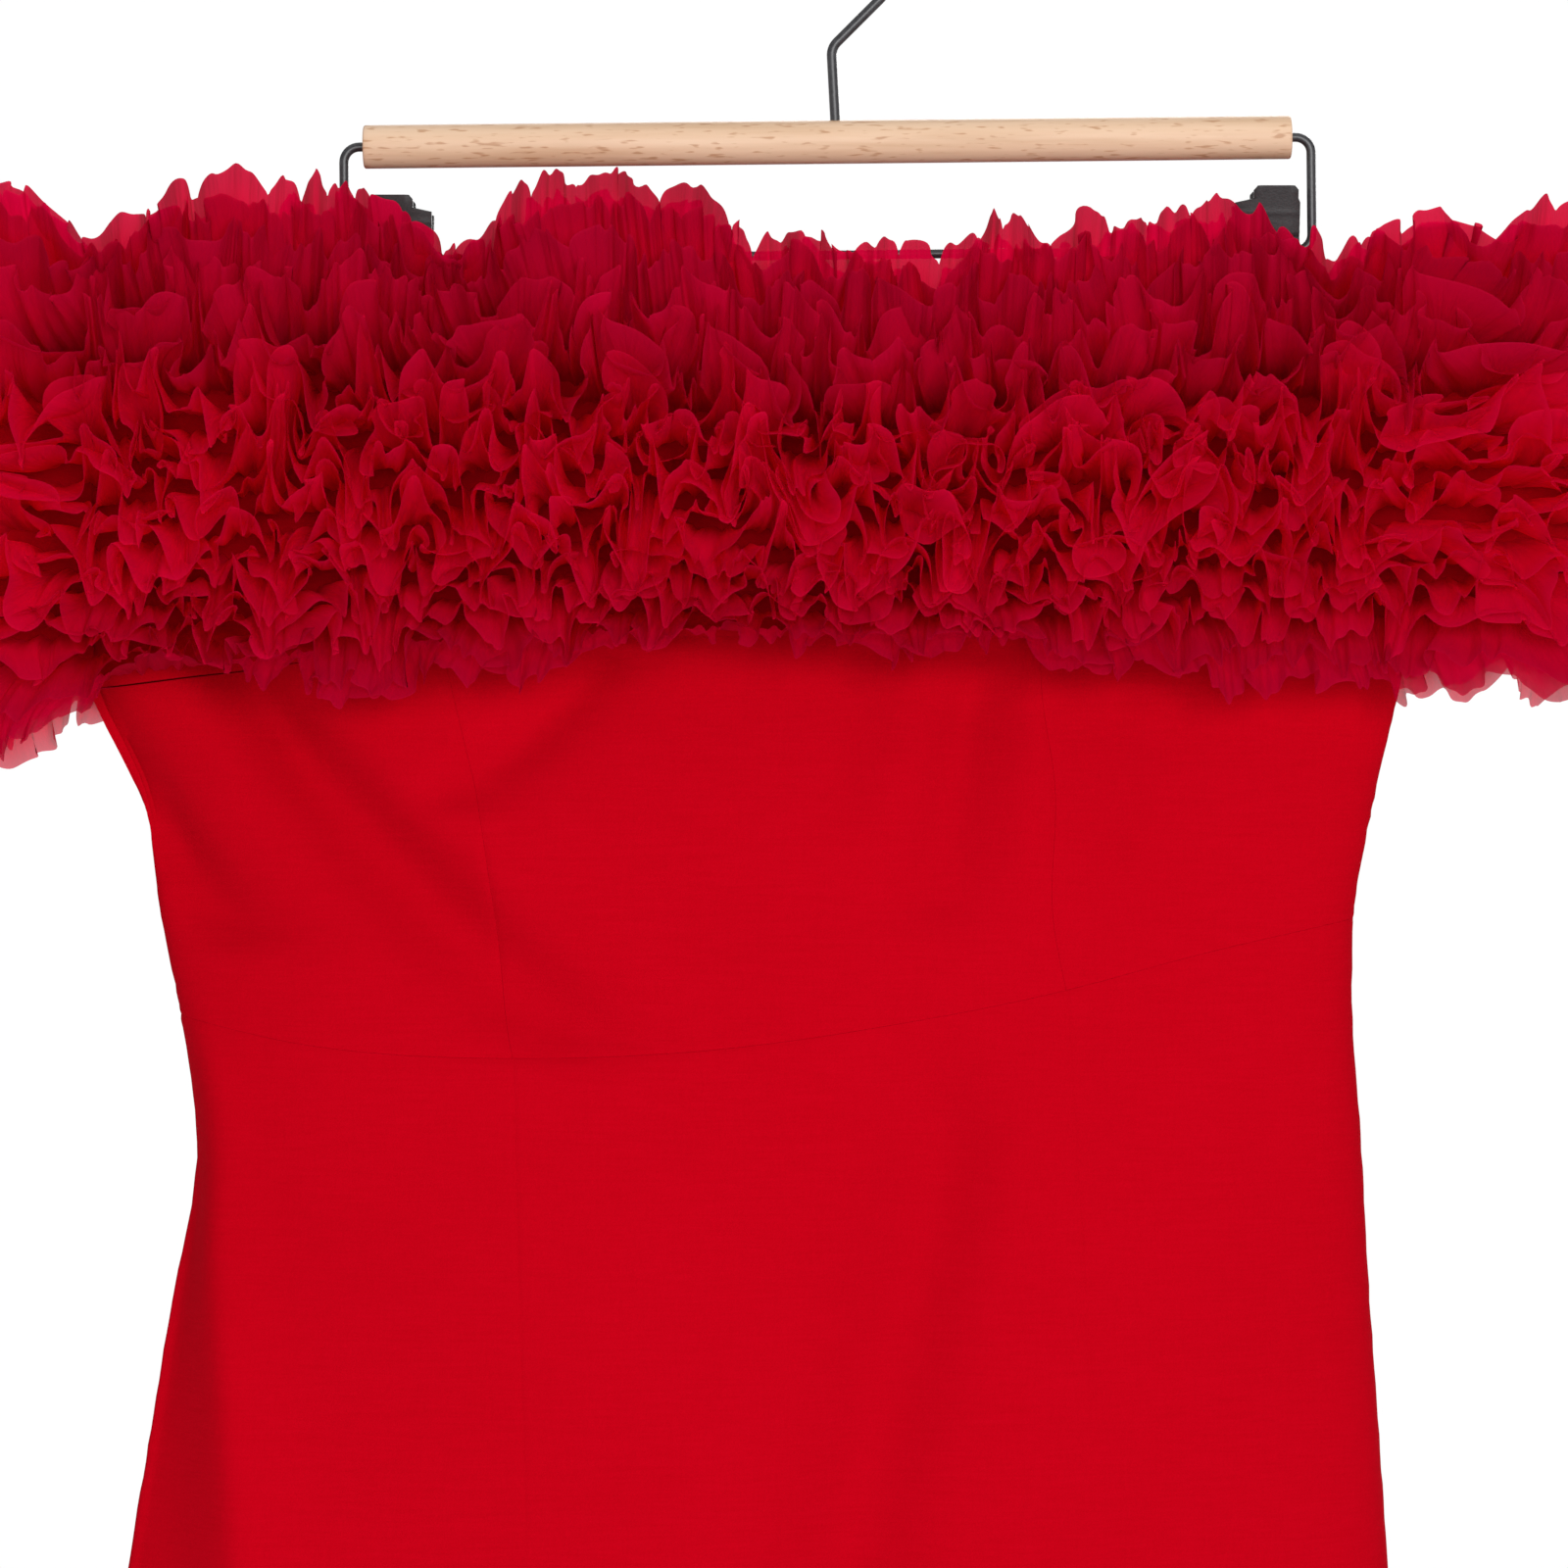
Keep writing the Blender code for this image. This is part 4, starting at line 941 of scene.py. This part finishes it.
def tube_faces(rings, sides):
    index = np.arange(rings * sides).reshape(rings, sides)
    following = np.roll(index, -1, axis=1)
    quads = np.stack([index[:-1], index[1:], following[1:], following[:-1]], axis=-1)
    caps = [index[0][::-1].tolist(), index[-1].tolist()]
    return quads.reshape(-1, 4)[:, ::-1].tolist() + caps


def tube_points(path, first, radius, sides):
    """Rings of points round a path, each starting towards its own first direction."""
    along = np.gradient(path, axis=0)
    along /= np.linalg.norm(along, axis=-1, keepdims=True)
    first = first - (first * along).sum(axis=-1, keepdims=True) * along
    first /= np.linalg.norm(first, axis=-1, keepdims=True)
    second = np.cross(along, first)
    angles = np.linspace(0, 2 * math.pi, sides, endpoint=False)[None, :, None]
    return path[:, None] + radius * (np.cos(angles) * first[:, None] + np.sin(angles) * second[:, None])


def add_solid(name, points, material, node):
    """A piece that stands for one solid, from rings of points."""
    piece = add_mesh(name, points, tube_faces(*points.shape[:2]), material)
    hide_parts(node)


def add_wire(name, path, radius, material, node):
    """Round wire along a path in the hanger's plane."""
    path = np.array([(x, 0.0, z) for x, z in path])
    aside = np.cross((0.0, 1.0, 0.0), np.gradient(path, axis=0))
    add_solid(name, tube_points(path, aside, radius, 20), material, node)


BAR_CENTRE_X, BAR_CENTRE_Z = -0.0019, -0.0802
BAR_LENGTH, BAR_RADIUS, BAR_TILT = 0.300, 0.007, math.radians(0.6)
BAR_EDGE = 0.0008
HOOK_WIRE, HOOK_BEND = 0.0016, 0.021
HOOK_KINK_X, HOOK_STEM_X, HOOK_CORNER = -0.0006, 0.0009, 0.006
WIRE_SEAT = 0.004
FRAME_WIRE, FRAME_CORNER = 0.0015, 0.005
FRAME_OUTREACH, FRAME_DROP = 0.0065, 0.0365


def tilted(x, z):
    """A place on the level hanger, after its slight tilt about the bar's middle."""
    along, up = x - BAR_CENTRE_X, z - BAR_CENTRE_Z
    return (BAR_CENTRE_X + along * math.cos(BAR_TILT) - up * math.sin(BAR_TILT),
            BAR_CENTRE_Z + along * math.sin(BAR_TILT) + up * math.cos(BAR_TILT))


def round_corner(before, corner, after, radius, steps=9):
    """Arc that replaces a corner between two straight stretches."""
    before, corner, after = (np.array(point) for point in (before, corner, after))
    towards = (before - corner) / np.linalg.norm(before - corner)
    away = (after - corner) / np.linalg.norm(after - corner)
    half = math.acos(float(np.clip(towards @ away, -1, 1))) / 2
    middle = corner + (towards + away) / np.linalg.norm(towards + away) * radius / math.sin(half)
    start = corner + towards * radius / math.tan(half) - middle
    end = corner + away * radius / math.tan(half) - middle
    turn = math.pi - 2 * half
    return [tuple(middle + (math.sin((1 - part) * turn) * start + math.sin(part * turn) * end)
                  / math.sin(turn)) for part in np.linspace(0, 1, steps + 1)]


def add_hanger(wood, wire):
    x, y, z = np.moveaxis(round_rod(BAR_LENGTH, BAR_RADIUS, BAR_EDGE, 64, 24), -1, 0)
    x, z = tilted(x + BAR_CENTRE_X, z + BAR_CENTRE_Z)
    add_solid("bar", np.stack([x, y, z], axis=-1), wood, "hanger_bar")

    arc_z = HOOK_WIRE - HOOK_BEND
    angles = np.radians(np.linspace(-45, 205, 61))
    arc = [(HOOK_BEND * math.cos(a), arc_z + HOOK_BEND * math.sin(a)) for a in angles]
    kink = (HOOK_KINK_X, arc[0][1] - (arc[0][0] - HOOK_KINK_X))
    stem = tilted(HOOK_STEM_X, BAR_CENTRE_Z + BAR_RADIUS - WIRE_SEAT)
    path = [stem] + round_corner(stem, kink, arc[0], HOOK_CORNER) + arc
    add_wire("hook", path, HOOK_WIRE, wire, "hanger_hook")

    high, low, half = BAR_CENTRE_Z, BAR_CENTRE_Z - FRAME_DROP, BAR_LENGTH / 2
    corners = [(half - WIRE_SEAT, high), (half + FRAME_OUTREACH, high), (half + FRAME_OUTREACH, low)]
    corners = ([(BAR_CENTRE_X - x, z) for x, z in corners]
               + [(BAR_CENTRE_X + x, z) for x, z in reversed(corners)])
    path = [corners[0]]
    for before, corner, after in zip(corners, corners[1:], corners[2:]):
        path += round_corner(before, corner, after, FRAME_CORNER)
    path.append(corners[-1])
    add_wire("frame_wire", [tilted(x, z) for x, z in path], FRAME_WIRE, wire, "hanger_frame")


# A jaw's foot, shoulder, handle and top from the lower wire, and its inner face's depths there
JAW_HEIGHTS = (-0.0215, 0.004, 0.016, 0.020)
JAW_INNER_DEPTHS = (0.00195, 0.00195, 0.0055, 0.0068)
JAW_RIB = 0.0004


def add_clip(side, clip_x, face, material):
    """One jaw of a clip: handle, shoulder and ribbed grip, with softened edges."""
    wire_z = tilted(clip_x, BAR_CENTRE_Z - FRAME_DROP)[1]
    foot, shoulder, handle, top = JAW_HEIGHTS
    heights = np.concatenate([np.linspace(foot, shoulder, 18), np.linspace(shoulder + 0.0015, top, 12)])
    inner = np.interp(heights, JAW_HEIGHTS, JAW_INNER_DEPTHS)
    away = math.copysign(1.0, clip_x)
    reach_in, reach_out = (np.where(heights < handle, reach, CLIP_HANDLE_WIDTH / 2)
                           for reach in (JAW_REACH_IN, JAW_REACH_OUT))
    corner = 0.0012 * np.clip((heights - 0.0185) / 0.0015, 0, 1) ** 2
    wall = JAW_WALL * (1 - 0.45 * np.clip((-0.010 - heights) / 0.0115, 0, 1))
    wall = wall + np.where((heights > -0.008) & (heights < 0.012), JAW_RIB * np.cos(heights * 2400), 0)
    across = np.linspace(0, 1, 11)
    softened = 0.0007 * np.maximum(0, (np.abs(2 * across - 1) - 0.8) / 0.2) ** 2
    places = away * blend((corner - reach_in)[:, None], (reach_out - corner)[:, None], across[None, :])
    if away * face > 0:
        places = places[:, ::-1]
    z = wire_z + heights[:, None] + 0 * places
    outer_y = face * (inner + wall)[:, None] - face * softened[None, :]
    outer = np.stack([clip_x + places, outer_y, z], axis=-1)
    back = np.stack([clip_x + places, face * inner[:, None] + 0 * places, z], axis=-1)
    name = "front" if face < 0 else "back"
    piece = add_wall(f"clip_{side}_{name}", outer, back, material, sharp=50)
    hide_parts(f"clip_{side}_{name}_jaw")


# Zip in the centre back

ZIP_DROP, ZIP_TOP_PLACE = 0.034, 0.85
COIL_DEPTH, COIL_PITCH, COIL_WIRE = 0.0024, 0.0013, 0.0002
COIL_OFFSET, COIL_REACH, COIL_HALF_DEPTH = 0.0005, 0.0008, 0.0006
SLIDER_GAP = 0.0003
SLIDER_COLUMNS = ("drop", "half_width", "thickness")
SLIDER_ROWS = (
    (0.0008, 0.0018, 0.0018), (0.0012, 0.0024, 0.0024), (0.0022, 0.0028, 0.0028),
    (0.0058, 0.0026, 0.0028), (0.0066, 0.0022, 0.0022), (0.0074, 0.0013, 0.0010),
    (0.0090, 0.0013, 0.0010), (0.0120, 0.0026, 0.0010), (0.0144, 0.0030, 0.0010),
    (0.0158, 0.0018, 0.0010),
)


def centre_back_line():
    """Places of the centre back from the zip's lower end up to its top on the band."""
    waist = float(waist_height(np.array(BACK)))
    heights = np.linspace(waist - ZIP_DROP, float(band_seam_height(np.array(BACK))), 81)
    body = body_point(np.full(81, BACK), heights, creased=True)
    band = band_point(np.full(41, CENTRE_BACK_X), np.linspace(0, ZIP_TOP_PLACE, 41), 1)
    return np.concatenate([body, band[1:]])


def add_coil(name, side, material):
    """One side's filament of the coil zip, behind the closed seam."""
    line = centre_back_line()
    run = run_along(line)
    turn = np.arange(0, run[-1] / COIL_PITCH, 1 / 7) + 0.25 * side
    place = np.clip(turn * COIL_PITCH, 0, run[-1])
    middle = np.stack([np.interp(place, run, line[:, axis]) for axis in range(3)], axis=-1)
    aside, deep = side * np.cos(2 * math.pi * turn), np.sin(2 * math.pi * turn)
    path = middle + np.stack([COIL_REACH * aside + side * COIL_OFFSET,
                              COIL_HALF_DEPTH * deep - COIL_DEPTH, 0 * turn], axis=-1)
    first = np.stack([aside, deep, 0 * turn], axis=-1)
    add_solid(name, tube_points(path, first, COIL_WIRE, 5), material, "zip_coil")


def add_zip(material):
    """Coils of the closed zip, and the slider with its pull under the ruffles."""
    add_coil("zip_coil_left", -1, material)
    add_coil("zip_coil_right", 1, material)
    height = float(RING["top"](CENTRE_BACK_X) - RING["bottom"](CENTRE_BACK_X))
    drops = np.linspace(SLIDER_ROWS[-1][0], SLIDER_ROWS[0][0], 60)
    half, thick = (table_curves(SLIDER_ROWS, SLIDER_COLUMNS)[name](drops) for name in SLIDER_COLUMNS[1:])
    ends = np.minimum(drops - drops[-1], drops[0] - drops)
    soft = np.sqrt(np.clip(ends / 0.0006, 0.04, 1))[:, None]
    up = ZIP_TOP_PLACE - 0.0003 / height - drops / height
    seat = band_point(np.full(60, CENTRE_BACK_X), up, 1)
    angles = np.linspace(0, 2 * math.pi, 28, endpoint=False)[None, :]
    across = half[:, None] * soft * rounded(np.cos(angles), 4)
    away = SLIDER_GAP + thick[:, None] / 2 * (1 + soft * rounded(np.sin(angles), 4))
    points = np.stack([seat[:, :1] + across, seat[:, 1:2] + away,
                       np.broadcast_to(seat[:, 2:], across.shape)], axis=-1)
    add_solid("zip_slider_body", points, material, "zip_slider")


# Stage

def add_stage():
    """Pale floor, white surroundings, soft lights and the photograph's camera."""
    scene = bpy.context.scene
    bpy.ops.mesh.primitive_plane_add(size=FLOOR_SIZE, location=(0, 0, FLOOR_Z))
    floor = bpy.context.object
    floor.name = "floor"
    made = Nodes("pale_floor")
    tone = made.noise(made.mapped(), 0.6, 2.0)
    made.paint(made.ramp(tone, ((0.3, (0.84, 0.84, 0.84)), (0.7, (0.87, 0.87, 0.87)))))
    made.set(Roughness=0.9)
    floor.data.materials.append(made.owner)

    sky = Nodes("studio", "worlds", "Background")
    place = sky.add("ShaderNodeTexCoord").outputs["Generated"]
    height = sky.add("ShaderNodeSeparateXYZ", {"Vector": place}).outputs["Z"]
    sky.paint(sky.ramp(height, tuple((level, (tone,) * 3) for level, tone in SKY_TONES)))
    sky.set(Strength=SKY_STRENGTH)
    scene.world = sky.owner
    for name, place, size, power in LIGHTS:
        lamp = bpy.data.lights.new(name, "AREA")
        lamp.size = size
        lamp.energy = power
        piece = bpy.data.objects.new(name, lamp)
        piece.location = place
        aim = Vector(LIGHTS_AIM) - Vector(place)
        piece.rotation_euler = aim.to_track_quat("-Z", "Y").to_euler()
        scene.collection.objects.link(piece)

    lens = bpy.data.cameras.new("camera")
    lens.lens = CAMERA_LENS
    lens.sensor_width = CAMERA_SENSOR
    camera = bpy.data.objects.new("camera", lens)
    camera.location = CAMERA_PLACE
    camera.rotation_euler = (math.radians(90), 0, 0)
    scene.collection.objects.link(camera)
    scene.camera = camera
    scene.view_settings.view_transform = "Standard"
    scene.view_settings.exposure = EXPOSURE


def main():
    crepe = crepe_material()
    add_crepe(crepe)
    add_band_base(crepe)
    add_ruffles()
    add_hanger(wood_material(), dark_material("black_wire", (0.016, 0.016, 0.018), 0.38, 700.0, 0.4))
    clip = dark_material("black_clip", (0.010, 0.010, 0.011), 0.55, 1500.0, 0.7)
    for side, clip_x in (("left", -CLIP_X), ("right", CLIP_X)):
        for face in (-1, 1):
            add_clip(side, clip_x, face, clip)
    add_zip(zip_material())
    add_stage()


main()
